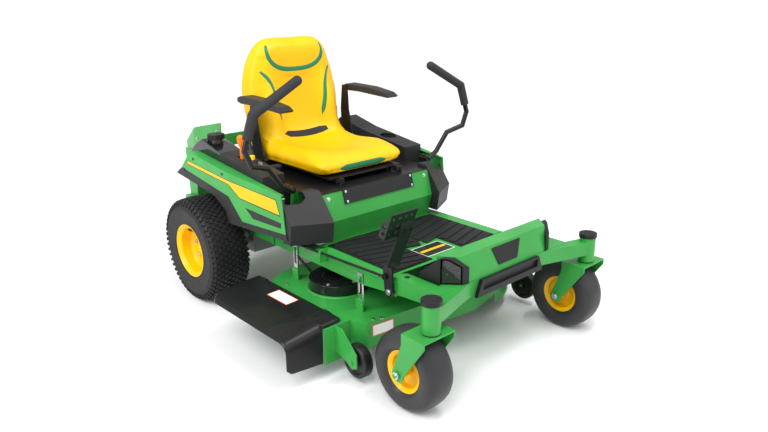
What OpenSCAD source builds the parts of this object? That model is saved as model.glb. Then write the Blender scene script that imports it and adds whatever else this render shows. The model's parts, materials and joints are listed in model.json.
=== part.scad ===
// Zero-turn mower: frame, wheels, cutting deck, bodywork, seat and controls.
// Front is -Y, up is +Z, the operator's left hand is +X and the ground is z = 0.
// Parts of the left side are drawn once and mirrored for the right side.

/* [Wheels] */
// Distance between the rear axle and the caster axles
wheelbase = 1253; // [1200:1:1520]
// Distance between the middles of the two rear tires
rear_track = 962; // [950:1:1100]
// Distance between the two caster pivots
caster_track = 864; // [830:1:980]
// Outer radius of a rear tire
rear_tire_r = 228.6; // [215:0.1:232]
// Width of a rear tire
rear_tire_w = 178; // [150:1:180]
// Outer radius of a caster tire
caster_tire_r = 142; // [125:1:143]
// Width of a caster tire
caster_tire_w = 118; // [96:1:120]
// Distance from a caster pivot back to its axle
caster_trail = 79; // [70:1:85]

/* [Frame] */
// Height of the top of the side rails
floor_z = 346; // [344:1:352]
// Height of a side rail
rail_h = 50; // [40:1:50]
// Width of a side rail
rail_w = 50; // [40:1:50]
// Sideways distance of a rail's middle from the centre line
rail_x = 325; // [325:1:326]

/* [Cutting deck] */
// Height of the top of the deck with the deck down
deck_top_z = 195; // [190:1:196]
// Length of a blade
blade_len = 530; // [440:1:530]
// Sideways distance between the two spindles
spindle_spread = 536; // [534:1:540]
// How far the left spindle sits in front of the right one
spindle_stagger = 70; // [60:1:80]
// Travel of the deck from its stop to fully raised
deck_travel = 57; // [45:1:57]

/* [Body] */
// Height of the top edge of the front panel
panel_top_z = 553; // [545:1:560]
// Sideways place of the fender sides over the rear tires
fender_x = 476; // [472:1:482]
// How far the rear guard reaches behind the rear axle
guard_rear_y = 470; // [462:1:480]

/* [Seat and controls] */
// Height of the top of the seat back
seat_top_z = 1103; // [1000:1:1200]
// Half of the seat's greatest width
seat_half_w = 245; // [205:1:246]
// Sideways reach of the widest bend of a control lever
lever_out_x = 584; // [575:1:600]
// Height of the tip of a control lever
lever_tip_z = 1002; // [960:1:1040]
// Radius of a control lever's tube
lever_r = 11; // [9:0.5:12]

/* [Fits] */
// Radial clearance of a turning pin in its bore
pin_gap = 0.1; // [0.05:0.01:0.2]
// Clearance between faces that move past each other
face_gap = 0.3; // [0.2:0.05:0.5]
// Thickness of the sheet metal
sheet = 3; // [2.5:0.1:3.5]

/* [Hidden] */
$fn = 64;

green = [0.16, 0.48, 0.17];
yellow = [1, 0.82, 0];
black = [0.09, 0.09, 0.1];
dark_grey = [0.2, 0.2, 0.21];
steel = [0.72, 0.73, 0.75];

// Places that several parts share
axle_z = rear_tire_r;
rear_x = rear_track / 2;
caster_x = caster_track / 2;
front_y = -(wheelbase + caster_trail);
caster_axle_y = -wheelbase;
rail_in = rail_x - rail_w / 2;
rail_out = rail_x + rail_w / 2;
rail_bot = floor_z - rail_h;
rail_rear_y = 430;
beam_bot = floor_z - 17;
beam_top = floor_z + 37;
beam_back = front_y + 96;
beam_front = front_y + 42;
panel_y = -600;
panel_x = 289;
pan_top = floor_z + sheet;

// Caster pivot
tube_r = 31;
tube_bore_r = 25;
tube_bot = 300;
tube_top = 400;
bearing_lip = 4;
stem_r = 12.6;
fork_top_z = tube_bot - bearing_lip - face_gap;
fork_plate = 6;
axle_pin_r = 8;
caster_rim_r = 63.5;
caster_flange_r = 74;
caster_rim_half = 47;

// Rear wheel
rear_rim_r = 101.6;
rear_flange_r = 117;
rear_rim_half = 82;
shaft_r = 12.6;
stud_circle_r = 50;
stud_count = 5;

// Engine and belts
engine_y = 190;
engine_r = 130;
engine_z = floor_z + 6;
crank_r = 12.7;
muffler_y = 392;
muffler_z = 436;
exhaust_y = engine_y + engine_r + 6;
belt_z = 217;
belt_h = 13;
deck_pulley_r = 75;
motor_pulley_r = 60;
drive_belt_z = 277;
drive_pulley_r = 52;
transaxle_x = 235;

// Cutting deck
spindle_x = spindle_spread / 2;
right_spindle_y = -665;
left_spindle_y = right_spindle_y - spindle_stagger;
deck_r = blade_len / 2 + 12;
deck_wall = 3;
skirt_z = 58;
deck_front_y = -1058;
corner_y = -932;
spindle_bore_r = 15;
blade_z = 66;
cover_r = 120;
cover_top_z = deck_top_z + 41;
link_x = rail_out + 2;
link_z = 325;
link_ys = [-500, -900];
gauge_y = -1018;
gauge_z = 83;
gauge_r = 62;
gauge_x = 470;
gauge_w = 38;
chute_hinge_x = -472;
chute_hinge_z = deck_top_z + 12;
chute_out_x = -704;
chute_ys = [-925, -400];

// Lift pedal
pedal_y = -1067;
pedal_z = 327;
rod_y = pedal_y + 14;
rod_z = pedal_z + 55;
rod_r = 5;
rod_rear = [-300, 350];
pin_play = 2;
guide_y = -700;
rod_x = rail_out + 26.3;

// Controls
arm_y = -470;
arm_z = 470;
arm_pin_r = 8;
swing_x = 378;
swing_y = -490;
swing_z = 572;
swing_pin_r = 5;
lever_y = -555;

// Seat
seat_hinge_y = -548;
seat_hinge_z = panel_top_z + 17;
seat_pan_z = panel_top_z + 31;
armrest_y = -85;
armrest_z = 861;

// The machine's box, whose middle is moved to x = 0, y = 0
x_max = lever_out_x + lever_r;
x_min = chute_out_x;
y_max = guard_rear_y;
y_min = caster_axle_y - caster_tire_r;
x_mid = (x_max + x_min) / 2;
y_mid = (y_max + y_min) / 2;

// ---- Helpers ----

module place() translate([-x_mid, -y_mid, 0]) children();

module both() {
    children();
    mirror([1, 0, 0]) children();
}

module right() mirror([1, 0, 0]) children();

// A (y, z) outline made t thick along X, from x
module side_plate(x, t, outline)
    translate([x, 0, 0]) rotate([90, 0, 90]) linear_extrude(t) polygon(outline);

// An (x, z) outline drawn along Y between two places
module cross_plate(ys, outline)
    translate([0, ys[1], 0]) rotate([90, 0, 0])
        linear_extrude(ys[1] - ys[0]) polygon(outline);

module block(a, b) translate(a) cube(b - a);

module bar_x(x0, x1, y, z, r)
    translate([x0, y, z]) rotate([0, 90, 0]) cylinder(r = r, h = x1 - x0);

module bar_y(y0, y1, x, z, r)
    translate([x, y1, z]) rotate([90, 0, 0]) cylinder(r = r, h = y1 - y0);

// A round bar from point a to point b
module strut(a, b, r) {
    d = b - a;
    len = norm(d);
    translate(a) rotate([0, acos(d.z / len), atan2(d.y, d.x)])
        cylinder(r = r, h = len);
}

// A bent tube through the points, with slightly swollen bends
module bent_tube(points, r) {
    for (i = [0 : len(points) - 2]) strut(points[i], points[i + 1], r);
    for (i = [1 : len(points) - 2]) translate(points[i]) sphere(r = r + 0.2);
}

// A box beam in plan from a to b
module beam(a, b, width, z0, z1) {
    d = b - a;
    translate([a.x, a.y, z0]) rotate([0, 0, atan2(d.y, d.x)])
        translate([0, -width / 2, 0]) cube([norm(d), width, z1 - z0]);
}

// ---- Frame and floor ----

module rail() {
    difference() {
        side_plate(rail_in, rail_w, [
            [rail_rear_y, rail_bot], [rail_rear_y, floor_z],
            [front_y + 352, floor_z], [front_y + 242, beam_top],
            [beam_back, beam_top], [beam_back, beam_bot],
            [front_y + 212, beam_bot - 9], [front_y + 432, rail_bot]
        ]);
        block([rail_in + 4, front_y + 450, rail_bot + 4],
              [rail_out - 4, rail_rear_y + 1, floor_z - 4]);
    }
}

module caster_arm() {
    difference() {
        union() {
            beam([190, front_y + 72], [caster_x, front_y], 50, beam_bot + 1, beam_top - 1);
            translate([caster_x, front_y, tube_bot])
                cylinder(r = tube_r, h = tube_top - tube_bot);
        }
        translate([caster_x, front_y, tube_bot - 1])
            cylinder(r = tube_bore_r, h = tube_top - tube_bot + 2);
    }
}

module seat_posts() {
    block([rail_in, -500, floor_z - 1], [rail_in + 30, -440, panel_top_z]);
    block([rail_in, -60, floor_z - 1], [rail_in + 30, -20, panel_top_z]);
    bar_x(rail_in + 29, swing_x - 7, arm_y, arm_z, arm_pin_r);
}

module fender_bracket() {
    block([rail_out - 1, -345, rail_bot + 4], [rail_out + 6, -325, 402]);
    block([rail_out, -345, 396], [fender_x - 16.4, -325, 402]);
}

module main_frame() color(green) difference() {
    union() {
        both() {
            rail();
            caster_arm();
            seat_posts();
            fender_bracket();
            for (y = link_ys) bar_x(rail_out - 1, rail_out + 14, y, link_z, 7);
        }
        block([-rail_out, beam_front, beam_bot], [rail_out, beam_back, beam_top]);
        block([-rail_in - 2, -640, rail_bot], [rail_in + 2, panel_y + 10, floor_z]);
        block([-rail_in - 2, -345, floor_z - 6], [rail_in + 2, -195, floor_z]);
        block([-rail_out, engine_y - 150, floor_z], [rail_out, engine_y + 150, engine_z]);
        block([-rail_in - 2, rail_rear_y - 6, rail_bot],
              [rail_in + 2, rail_rear_y, floor_z + 38]);
        block([-60, rail_rear_y - 6, 300], [60, guard_rear_y - 2, 308]);
        // Pedal pivot and rod guide on the right rail
        block([-rail_out - 6, pedal_y - 20, pedal_z - 15],
              [-rail_out + 1, pedal_y + 20, pedal_z + 40]);
        bar_x(-rail_out - 22, -rail_out - 5, pedal_y, pedal_z, 9);
        block([-rod_x - 10, guide_y - 3, rail_bot + 34], [-rail_out + 2, guide_y + 3, 380]);
    }
    translate([0, engine_y, floor_z - 1]) cylinder(r = 75, h = 10);
    translate([0, guard_rear_y - 20, 290]) cylinder(r = 9.7, h = 30);
    rod_bar(rod_r + pin_gap);
}

module floor_pan() color(green) {
    block([-rail_out + 5, front_y + 354, floor_z], [rail_out - 5, panel_y + 10, pan_top]);
    side_plate(-rail_in + 1, 2 * rail_in - 2, [
        [front_y + 356, floor_z], [front_y + 356, pan_top], [front_y + 320, pan_top],
        [front_y + 142, 454], [front_y + 140, 451], [front_y + 319, floor_z]
    ]);
}

mat_x = 285;
mat_front = front_y + 332;
mat_rib = 40;
mat_pitch = 46;
module foot_mats() color(black) difference() {
    union() {
        block([-mat_x, mat_front, pan_top], [mat_x, panel_y - 20, pan_top + 4]);
        for (i = [0 : 7])
            block([-mat_x + 6, mat_front + 8 + i * mat_pitch, pan_top + 3.5],
                  [mat_x - 6, mat_front + 8 + i * mat_pitch + mat_rib, pan_top + 8]);
    }
    // Bare plate between the feet
    block([-88, mat_front - 1, pan_top - 1], [88, -831, pan_top + 10]);
}

// ---- Bodywork ----

crease = [panel_y - 25, 444];
module front_panel() color(green) side_plate(-panel_x, 2 * panel_x, [
    [panel_y, pan_top], crease, [panel_y + 6, panel_top_z],
    [panel_y + 3, panel_top_z], [crease.x - 3, crease.y], [panel_y - 3, pan_top]
]);

module seat_platform() color(black) difference() {
    union() {
        block([-rail_in - 30, -534, panel_top_z], [rail_in + 30, -20, panel_top_z + sheet]);
        block([-panel_x + 1, panel_y, panel_top_z], [panel_x - 1, -530, panel_top_z + sheet]);
        // Name plate lip, parallel to the upper half of the front panel
        side_plate(-188, 376, [
            [panel_y + 3, panel_top_z], [panel_y + 3, panel_top_z + sheet],
            [panel_y, panel_top_z + sheet], [panel_y - 17.6, 500], [panel_y - 12.6, 500]
        ]);
        for (x = [-170, 160])
            block([x, seat_hinge_y - 12, panel_top_z + sheet - 1],
                  [x + 10, seat_hinge_y + 12, seat_hinge_z + 10]);
    }
    bar_x(-180, 180, seat_hinge_y, seat_hinge_z, 5 + pin_gap);
}

nose_out = 281;
nose_in = 212;
nose_side_y = front_y + 127;
module nose_cover() color(green) difference() {
    intersection() {
        side_plate(-300, 600, [
            [front_y + 45, beam_top], [front_y + 65, 476], [front_y + 127, 476],
            [front_y + 138, beam_top]
        ]);
        translate([0, 0, beam_top]) linear_extrude(120) polygon([
            [-nose_in, front_y + 40], [nose_in, front_y + 40], [nose_out, front_y + 127],
            [nose_out, front_y + 140], [-nose_out, front_y + 140],
            [-nose_out, front_y + 127]
        ]);
    }
    // Hollow underneath
    side_plate(-nose_in + 10, 2 * nose_in - 20, [
        [front_y + 50, beam_top - 1], [front_y + 69, 472], [front_y + 123, 472],
        [front_y + 134, beam_top - 1]
    ]);
}

// Outline of a lamp pod in plan, its inner edge along the end of the nose
pod_corner = [240, front_y + 46];
pod_side = [nose_out + 9, front_y + 100];
module lamp_pod() intersection() {
    translate([0, 0, beam_top + face_gap]) linear_extrude(120) polygon([
        [nose_in + 0.3, front_y + 40], pod_corner, pod_side,
        [nose_out + 14, front_y + 191], [nose_out + 0.3, front_y + 191],
        [nose_out + 0.3, nose_side_y]
    ]);
    side_plate(150, 200, [
        [front_y + 37, beam_top], [front_y + 37, 440], [front_y + 80, 474],
        [front_y + 105, 474], [front_y + 192, beam_top + 22], [front_y + 192, beam_top]
    ]);
}

module nose_trim() color(dark_grey) {
    both() lamp_pod();
    // Badge plate on the nose front, parallel to it
    intersection() {
        side_plate(-100, 200, [
            [front_y + 49.1, 403], [front_y + 62.6, 466],
            [front_y + 58.6, 466], [front_y + 45.1, 403]
        ]);
        translate([0, front_y + 90, 0]) rotate([90, 0, 0]) linear_extrude(80)
            polygon([[-50, 400], [50, 400], [78, 466], [-78, 466]]);
    }
    // Step below the nose, in front of the cross beam
    difference() {
        block([-184, front_y + 27, 323], [184, beam_front, beam_top]);
        block([-150, front_y + 26, 345], [150, beam_front - 4, 372]);
    }
}

// A lens lies on the slanted front face of each pod
module lamp_lenses() color([0.85, 0.87, 0.9]) both() {
    d = pod_side - pod_corner;
    translate([pod_corner.x, pod_corner.y, 398]) rotate([0, 0, atan2(d.y, d.x)])
        translate([5, -3.1, 0]) cube([norm(d) - 12, 3, 30]);
}

// Side panel plan: straight over the tire, then angled in to the front corner
kink_y = -230;
side_angle = atan2(41, 370);
side_t = 3.5;

module front_side(outline)
    translate([fender_x, kink_y, 0]) rotate([0, 0, -side_angle])
        side_plate(-side_t, side_t, [for (p = outline) [p.x - kink_y, p.y]]);

module rear_side(outline) side_plate(fender_x - side_t, side_t, outline);

fender_top = [[-550, 572], [kink_y, 603], [93, 635]];
console_out = 430;
module fender() {
    front_side([
        fender_top[0], fender_top[1], [kink_y, 494], [-300, 414], [-565, 419]
    ]);
    rear_side([
        fender_top[1], fender_top[2], [173, 555], [-221, 504], [kink_y, 494]
    ]);
    // Flange from the top edge in to the console
    intersection() {
        side_plate(console_out, 60, [
            fender_top[0], fender_top[1], fender_top[2], fender_top[2] - [0, side_t],
            fender_top[1] - [0, side_t], fender_top[0] - [0, side_t]
        ]);
        linear_extrude(700) polygon([
            [console_out + face_gap, -551], [fender_x - 36, -551],
            [fender_x - 1, kink_y], [fender_x - 1, 94], [console_out + face_gap, 94]
        ]);
    }
}
module fender_left() color(green) fender();
module fender_right() color(green) right() fender();

module arch_trim() {
    front_side([
        [-565, 419], [-300, 414], [kink_y, 494], [kink_y, 388], [-293, 389], [-575, 394]
    ]);
    rear_side([
        [kink_y, 494], [-221, 504], [173, 555], [229, 519], [47, 500], [-100, 482],
        [-188, 435], [-203, 388], [kink_y, 388]
    ]);
}

// Black corner piece beside the front panel
cowl_turn = 28;
module cowl_solid(g) intersection() {
    translate([301, panel_y - 67, 0]) rotate([0, 0, cowl_turn])
        side_plate(-60, 260, [
            [68 + g, 559 - g], [g, 460], [12 + g, 377 + g], [240, 377 + g],
            [240, 569 - g], [80, 569 - g]
        ]);
    block([panel_x + g, -720, 370], [434 - g, -536 + (g > 0 ? 2 : 0), 580]);
}
module cowl() difference() {
    cowl_solid(0);
    cowl_solid(4);
    // Slot that the control lever moves in
    block([346, -574, 530], [422, -530, 600]);
}

module body_trim() color(dark_grey) both() {
    arch_trim();
    cowl();
}

console_in = rail_in + 30 + face_gap;
wall = 3.5;
module console_shell(front, rear_pts) difference() {
    side_plate(console_in, console_out - console_in, concat([
        [front, 520], [front, 612]], rear_pts, [[rear_pts[len(rear_pts) - 1].x, 520]]));
    side_plate(console_in + wall, console_out - console_in - 2 * wall, concat([
        [front + wall, 519], [front + wall, 612 - wall]],
        [for (p = rear_pts) [p.x - (p.x > 100 ? wall : 0), p.y - wall]],
        [[rear_pts[len(rear_pts) - 1].x - wall, 519]]));
}

cup_x = 381;
cup_y = -240;
cup_r = 38;
cup_floor = 545;
module console_left() color(dark_grey) difference() {
    union() {
        console_shell(-412, [[-99, 654], [56, 691], [160, 620]]);
        translate([cup_x, cup_y, cup_floor]) cylinder(r = cup_r + 3, h = 85);
    }
    translate([cup_x, cup_y, cup_floor + 3]) cylinder(r = cup_r, h = 120);
}

throttle_x = 385;
throttle_y = -190;
throttle_z = 612;
knob_y = -262;
key_y = -330;
module console_right() color(dark_grey) difference() {
    union() {
        right() console_shell(-412, [[-98, 654]]);
        // Bracket that holds the throttle pin
        block([-throttle_x - 12, throttle_y - 10, throttle_z - 12],
              [-throttle_x - 7, throttle_y + 10, 641]);
        bar_x(-throttle_x - 8, -throttle_x + 5, throttle_y, throttle_z, 4);
    }
    // Slot of the throttle, holes of the knob and of the key
    block([-throttle_x - 5, throttle_y - 32, 622],
          [-throttle_x + 5, throttle_y + 32, 700]);
    translate([-throttle_x, knob_y, 600]) cylinder(r = 5 + pin_gap, h = 80);
    translate([-throttle_x, key_y, 590]) cylinder(r = 8 + pin_gap, h = 80);
}

module throttle_lever() color([1, 0.45, 0]) difference() {
    union() {
        side_plate(-throttle_x - 3, 6, [
            [throttle_y - 8, throttle_z - 8], [throttle_y + 8, throttle_z - 8],
            [throttle_y + 5, 700], [throttle_y - 5, 700]
        ]);
        translate([-throttle_x, throttle_y, 690])
            rotate_extrude() polygon([[0, 0], [9, 2], [14, 24], [14, 40], [8, 48], [0, 49]]);
    }
    bar_x(-throttle_x - 5, -throttle_x + 6, throttle_y, throttle_z, 4 + pin_gap);
}

module blade_knob() color(yellow) translate([-throttle_x, knob_y, 0]) {
    translate([0, 0, 610]) cylinder(r = 5, h = 42);
    translate([0, 0, 651]) cylinder(r = 16, h = 14);
    translate([0, 0, 604]) cylinder(r = 8, h = 6);
}

module ignition_key() color(steel) translate([-throttle_x, key_y, 0]) {
    translate([0, 0, 596]) cylinder(r = 8, h = 34);
    translate([0, 0, 590]) cylinder(r = 11, h = 6);
    block([-1.5, -12, 629], [1.5, 12, 652]);
}

module rear_guard() color(green) {
    intersection() {
        linear_extrude(800) difference() {
            polygon([[-326, 75], [-326, 330], [-296, guard_rear_y], [296, guard_rear_y],
                     [326, 330], [326, 75]]);
            polygon([[-322, 74], [-322, 329], [-293, guard_rear_y - 4],
                     [293, guard_rear_y - 4], [322, 329], [322, 74]]);
        }
        side_plate(-400, 800, [
            [75, 745], [315, 691], [guard_rear_y, 600], [guard_rear_y, 540],
            [300, 560], [75, 640]
        ]);
    }
    both() side_plate(rail_in + 16, 6, [
        [360, floor_z], [rail_rear_y, floor_z], [rail_rear_y + 8, 575], [330, 575]
    ]);
}

neck_r = 27;
neck_z = 702;
cap_z = 692;
module fuel_tank() color(black) right() difference() {
    union() {
        side_plate(console_in, console_out - console_in, [
            [-97.7, 500], [-97.7, 654], [56, 691], [125, 655], [165, 615], [165, 500]
        ]);
        translate([380, 20, 660]) cylinder(r = neck_r, h = neck_z - 660);
    }
    side_plate(console_in + 4, console_out - console_in - 8, [
        [-93, 504], [-93, 650], [56, 686], [123, 651], [161, 612], [161, 504]
    ]);
    translate([380, 20, 650]) cylinder(r = 22, h = 60);
}

module fuel_cap() color(black) translate([-380, 20, 0]) difference() {
    union() {
        translate([0, 0, cap_z]) cylinder(r = 34, h = 20);
        for (i = [0 : 11]) rotate([0, 0, i * 30])
            translate([32, -3, cap_z]) cube([4, 6, 20]);
    }
    translate([0, 0, cap_z - 1]) cylinder(r = neck_r + face_gap, h = neck_z + face_gap + 1 - cap_z);
}

// ---- Engine, belts and transaxles ----

module engine_block() color(dark_grey) difference() {
    union() {
        translate([0, engine_y, engine_z]) cylinder(r = engine_r, h = 118);
        // Finned cylinders to both sides
        both() for (i = [0 : 5])
            block([60, engine_y - 50, engine_z + 30 + i * 14],
                  [185, engine_y + 50, engine_z + 37 + i * 14]);
        both() block([60, engine_y - 38, engine_z + 28], [178, engine_y + 38, engine_z + 112]);
        // Exhaust boss
        block([-22, engine_y + 100, muffler_z - 22], [22, exhaust_y, muffler_z + 22]);
    }
    translate([0, engine_y, engine_z - 1]) cylinder(r = crank_r + pin_gap, h = 41);
}

module engine_shroud() color(black) translate([0, engine_y, engine_z + 118]) difference() {
    union() {
        cylinder(r = 148, h = 110);
        translate([0, 0, 110]) cylinder(r = 105, h = 26);
        translate([-70, 40, 108]) cube([140, 90, 52]);
    }
    translate([0, 0, 4]) cylinder(r = 144, h = 102);
    translate([0, 0, -1]) cylinder(r = 118, h = 6);
    for (i = [0 : 17]) rotate([0, 0, i * 20])
        translate([45, -4, 100]) cube([50, 8, 60]);
}

module muffler() color(dark_grey) {
    bar_x(-140, 140, muffler_y, muffler_z, 45);
    bar_y(exhaust_y, muffler_y - 30, 0, muffler_z, 14);
    // Outlet pointing down beside the right end
    strut([-110, muffler_y, muffler_z], [-110, muffler_y + 4, muffler_z - 74], 14);
}

module belt_loop(pulleys, z, h) translate([0, 0, z]) linear_extrude(h) difference() {
    hull() for (p = pulleys) translate([p.x, p.y]) circle(r = p.z + 4);
    hull() for (p = pulleys) translate([p.x, p.y]) circle(r = p.z + 0.1);
}

module transaxles() {
    color(dark_grey) both() difference() {
        union() {
            block([175, -78, 172], [292, 78, 258]);
            bar_x(291, rear_x - rear_tire_w / 2 - 18, 0, axle_z, 32);
            block([280, -42, 240], [rail_out, 42, rail_bot]);
            translate([transaxle_x, 0, 257]) cylinder(r = 10, h = 13);
            translate([transaxle_x, 0, 266]) cylinder(r = drive_pulley_r, h = 20);
        }
        bar_x(318, 400, 0, axle_z, shaft_r + pin_gap);
    }
    color(black) belt_loop([
        [0, engine_y, drive_pulley_r], [transaxle_x, 0, drive_pulley_r],
        [-transaxle_x, 0, drive_pulley_r]], drive_belt_z - 5, 10);
}

module engine_pulley() color(steel) translate([0, engine_y, 0]) {
    translate([0, 0, 196]) cylinder(r = crank_r, h = engine_z + 30 - 196);
    translate([0, 0, belt_z - 9]) cylinder(r = motor_pulley_r, h = 18);
    translate([0, 0, belt_z + 9]) cylinder(r = 70, h = 34);
    translate([0, 0, 266]) cylinder(r = drive_pulley_r, h = 20);
}

module battery() color(black) {
    block([-98, -335, floor_z], [98, -205, 505]);
    for (x = [-70, 70]) translate([x, -228, 504]) cylinder(r = 9, h = 18);
}

// ---- Casters ----

module caster_bearings() color(black) both() translate([caster_x, front_y, 0]) {
    difference() {
        union() {
            translate([0, 0, tube_bot]) cylinder(r = tube_bore_r, h = 18);
            translate([0, 0, tube_bot - bearing_lip]) cylinder(r = tube_r, h = bearing_lip);
        }
        translate([0, 0, tube_bot - 10]) cylinder(r = stem_r + pin_gap, h = 40);
    }
    difference() {
        union() {
            translate([0, 0, tube_top - 18]) cylinder(r = tube_bore_r, h = 18);
            translate([0, 0, tube_top]) cylinder(r = tube_r, h = bearing_lip);
        }
        translate([0, 0, tube_top - 20]) cylinder(r = stem_r + pin_gap, h = 40);
    }
    // Dust cap over the upper bearing
    difference() {
        translate([0, 0, tube_top - 4]) cylinder(r = tube_r + 3.5, h = 16);
        translate([0, 0, tube_top - 5]) cylinder(r = tube_r, h = 5 + bearing_lip);
    }
}

fork_in = caster_tire_w / 2 + 6;
module caster_fork() translate([caster_x, 0, 0]) {
    // Stem
    translate([0, front_y, fork_top_z - 2])
        cylinder(r = stem_r, h = tube_top + bearing_lip - 0.5 - fork_top_z + 2);
    // Crown plate and legs
    block([-fork_in - fork_plate, front_y - 38, fork_top_z - fork_plate],
          [fork_in + fork_plate, front_y + 62, fork_top_z]);
    for (x = [-fork_in - fork_plate, fork_in]) difference() {
        union() {
            side_plate(x, fork_plate, [
                [front_y - 38, fork_top_z], [front_y - 38, fork_top_z - 22],
                [caster_axle_y - 26, caster_tire_r], [caster_axle_y + 26, caster_tire_r],
                [front_y + 62, fork_top_z - 40], [front_y + 62, fork_top_z]
            ]);
            bar_x(x, x + fork_plate, caster_axle_y, caster_tire_r, 26);
        }
        bar_x(x - 1, x + fork_plate + 1, caster_axle_y, caster_tire_r, axle_pin_r);
    }
    // Axle bolt with its head and nut
    bar_x(-fork_in - fork_plate - 14, fork_in + fork_plate + 16,
          caster_axle_y, caster_tire_r, axle_pin_r);
    for (x = [-fork_in - fork_plate - 10, fork_in + fork_plate])
        translate([x, caster_axle_y, caster_tire_r]) rotate([0, 90, 0])
            cylinder(r = 14, h = 10, $fn = 6);
}
module caster_fork_left() color(green) caster_fork();
module caster_fork_right() color(green) right() caster_fork();

// Rim turned about X: an outline of [radius, sideways] points
module turned(outline) rotate([0, 90, 0]) rotate_extrude($fn = 96) polygon(outline);

function mirrored(points) =
    concat(points, [for (i = [len(points) - 1 : -1 : 0]) [points[i].x, -points[i].y]]);

function mirrored_up(points) = concat(
    [for (i = [len(points) - 1 : -1 : 0]) [points[i].x, -points[i].y]], points);

module caster_rim() color(yellow) difference() {
    union() {
        turned(mirrored([
            [axle_pin_r + 8, caster_tire_w / 2], [axle_pin_r + 8, 8], [caster_rim_r - 3, 4],
            [caster_rim_r - 3, caster_rim_half - 9], [caster_flange_r - 1, caster_rim_half],
            [caster_flange_r, caster_rim_half - 2], [caster_rim_r, caster_rim_half - 12]
        ]));
        turned([[axle_pin_r, -fork_in + 1], [axle_pin_r + 9, -fork_in + 1],
                [axle_pin_r + 9, fork_in - 1], [axle_pin_r, fork_in - 1]]);
    }
    bar_x(-100, 100, 0, 0, axle_pin_r + pin_gap);
}

// Tire section between the rim radius rb and the tread radius r
module tire(r, w, rb, flange_r, rim_half) {
    d = r - rb;
    outer = [
        [rb + 0.2, rim_half - 12.3], [flange_r + 0.5, rim_half - 2.3],
        [rb + 0.24 * d, 0.485 * w], [rb + 0.45 * d, 0.5 * w], [rb + 0.72 * d, 0.49 * w],
        [rb + 0.88 * d, 0.45 * w], [rb + 0.965 * d, 0.36 * w], [r, 0.17 * w]
    ];
    inner = [
        [rb + 0.90 * d, 0.17 * w], [rb + 0.86 * d, 0.34 * w], [rb + 0.70 * d, 0.42 * w],
        [rb + 0.45 * d, 0.43 * w], [rb + 0.2, rim_half - 24]
    ];
    turned(concat(mirrored(outer), mirrored_up(inner)));
}

module at_caster() translate([caster_x, caster_axle_y, caster_tire_r]) children();
module caster_rim_left() at_caster() caster_rim();
module caster_rim_right() right() at_caster() caster_rim();
module caster_tire() color(black) at_caster()
    tire(caster_tire_r, caster_tire_w, caster_rim_r, caster_flange_r, caster_rim_half);
module caster_tire_left() caster_tire();
module caster_tire_right() right() caster_tire();

// ---- Rear wheels ----

module at_rear() translate([rear_x, 0, axle_z]) children();
module stud_ring() for (i = [0 : stud_count - 1])
    rotate([i * 360 / stud_count, 0, 0]) translate([0, 0, stud_circle_r]) children();

module rear_hub() color(steel) at_rear() {
    bar_x(318.5 - rear_x, 8, 0, 0, shaft_r);
    bar_x(5, 13, 0, 0, 70);
    stud_ring() bar_x(12, 32, 0, 0, 6);
    stud_ring() translate([17.2, 0, 0]) rotate([0, 90, 0]) cylinder(r = 10, h = 10, $fn = 6);
}
module rear_hub_left() rear_hub();
module rear_hub_right() right() rear_hub();

module rear_rim() color(yellow) at_rear() difference() {
    turned([
        [rear_flange_r, rear_rim_half], [rear_flange_r - 3, rear_rim_half],
        [rear_rim_r - 4, rear_rim_half - 10], [rear_rim_r - 4, 26], [80, 17], [24, 17],
        [24, 13], [80, 13], [rear_rim_r - 4, 22], [rear_rim_r - 4, 10 - rear_rim_half],
        [rear_flange_r - 3, -rear_rim_half], [rear_flange_r, -rear_rim_half],
        [rear_flange_r, 2 - rear_rim_half], [rear_rim_r, 12 - rear_rim_half],
        [rear_rim_r, rear_rim_half - 12], [rear_flange_r, rear_rim_half - 2]
    ]);
    stud_ring() bar_x(10, 20, 0, 0, 6.2);
}
module rear_rim_left() rear_rim();
module rear_rim_right() right() rear_rim();

module rear_tire() color(black) at_rear()
    tire(rear_tire_r, rear_tire_w, rear_rim_r, rear_flange_r, rear_rim_half);
module rear_tire_left() rear_tire();
module rear_tire_right() right() rear_tire();

// ---- Cutting deck ----

// Plan of the deck, grown by g
module deck_plan(g) {
    translate([-spindle_x, right_spindle_y]) circle(r = deck_r + g, $fn = 128);
    translate([spindle_x, left_spindle_y]) circle(r = deck_r + g, $fn = 128);
    polygon([
        [-spindle_x - deck_r - g, right_spindle_y], [-spindle_x - deck_r - g, corner_y - g],
        [-432 - g, corner_y - g], [-410 - g, corner_y - 66 - g], [100, deck_front_y - g],
        [spindle_x + 30, left_spindle_y - deck_r + 2 - g], [spindle_x, left_spindle_y],
        [spindle_x, left_spindle_y + deck_r + g], [-spindle_x, right_spindle_y + deck_r + g],
        [-spindle_x, right_spindle_y]
    ]);
}

module link_tab(y) block([link_x + 6, y - 20, deck_top_z - 3],
                         [link_x + 12, y + 20, deck_top_z + 45]);

module gauge_bracket() {
    side_plate(gauge_x + gauge_w / 2 + 5, 5, [
        [-880, 110], [-880, deck_top_z - 2], [-965, deck_top_z - 2],
        [gauge_y - 25, 120], [gauge_y - 25, 70], [gauge_y, 58],
        [gauge_y + 30, 75]
    ]);
    bar_x(gauge_x - gauge_w / 2 - 5, gauge_x + gauge_w / 2 + 17, gauge_y, gauge_z, 6);
}

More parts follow.
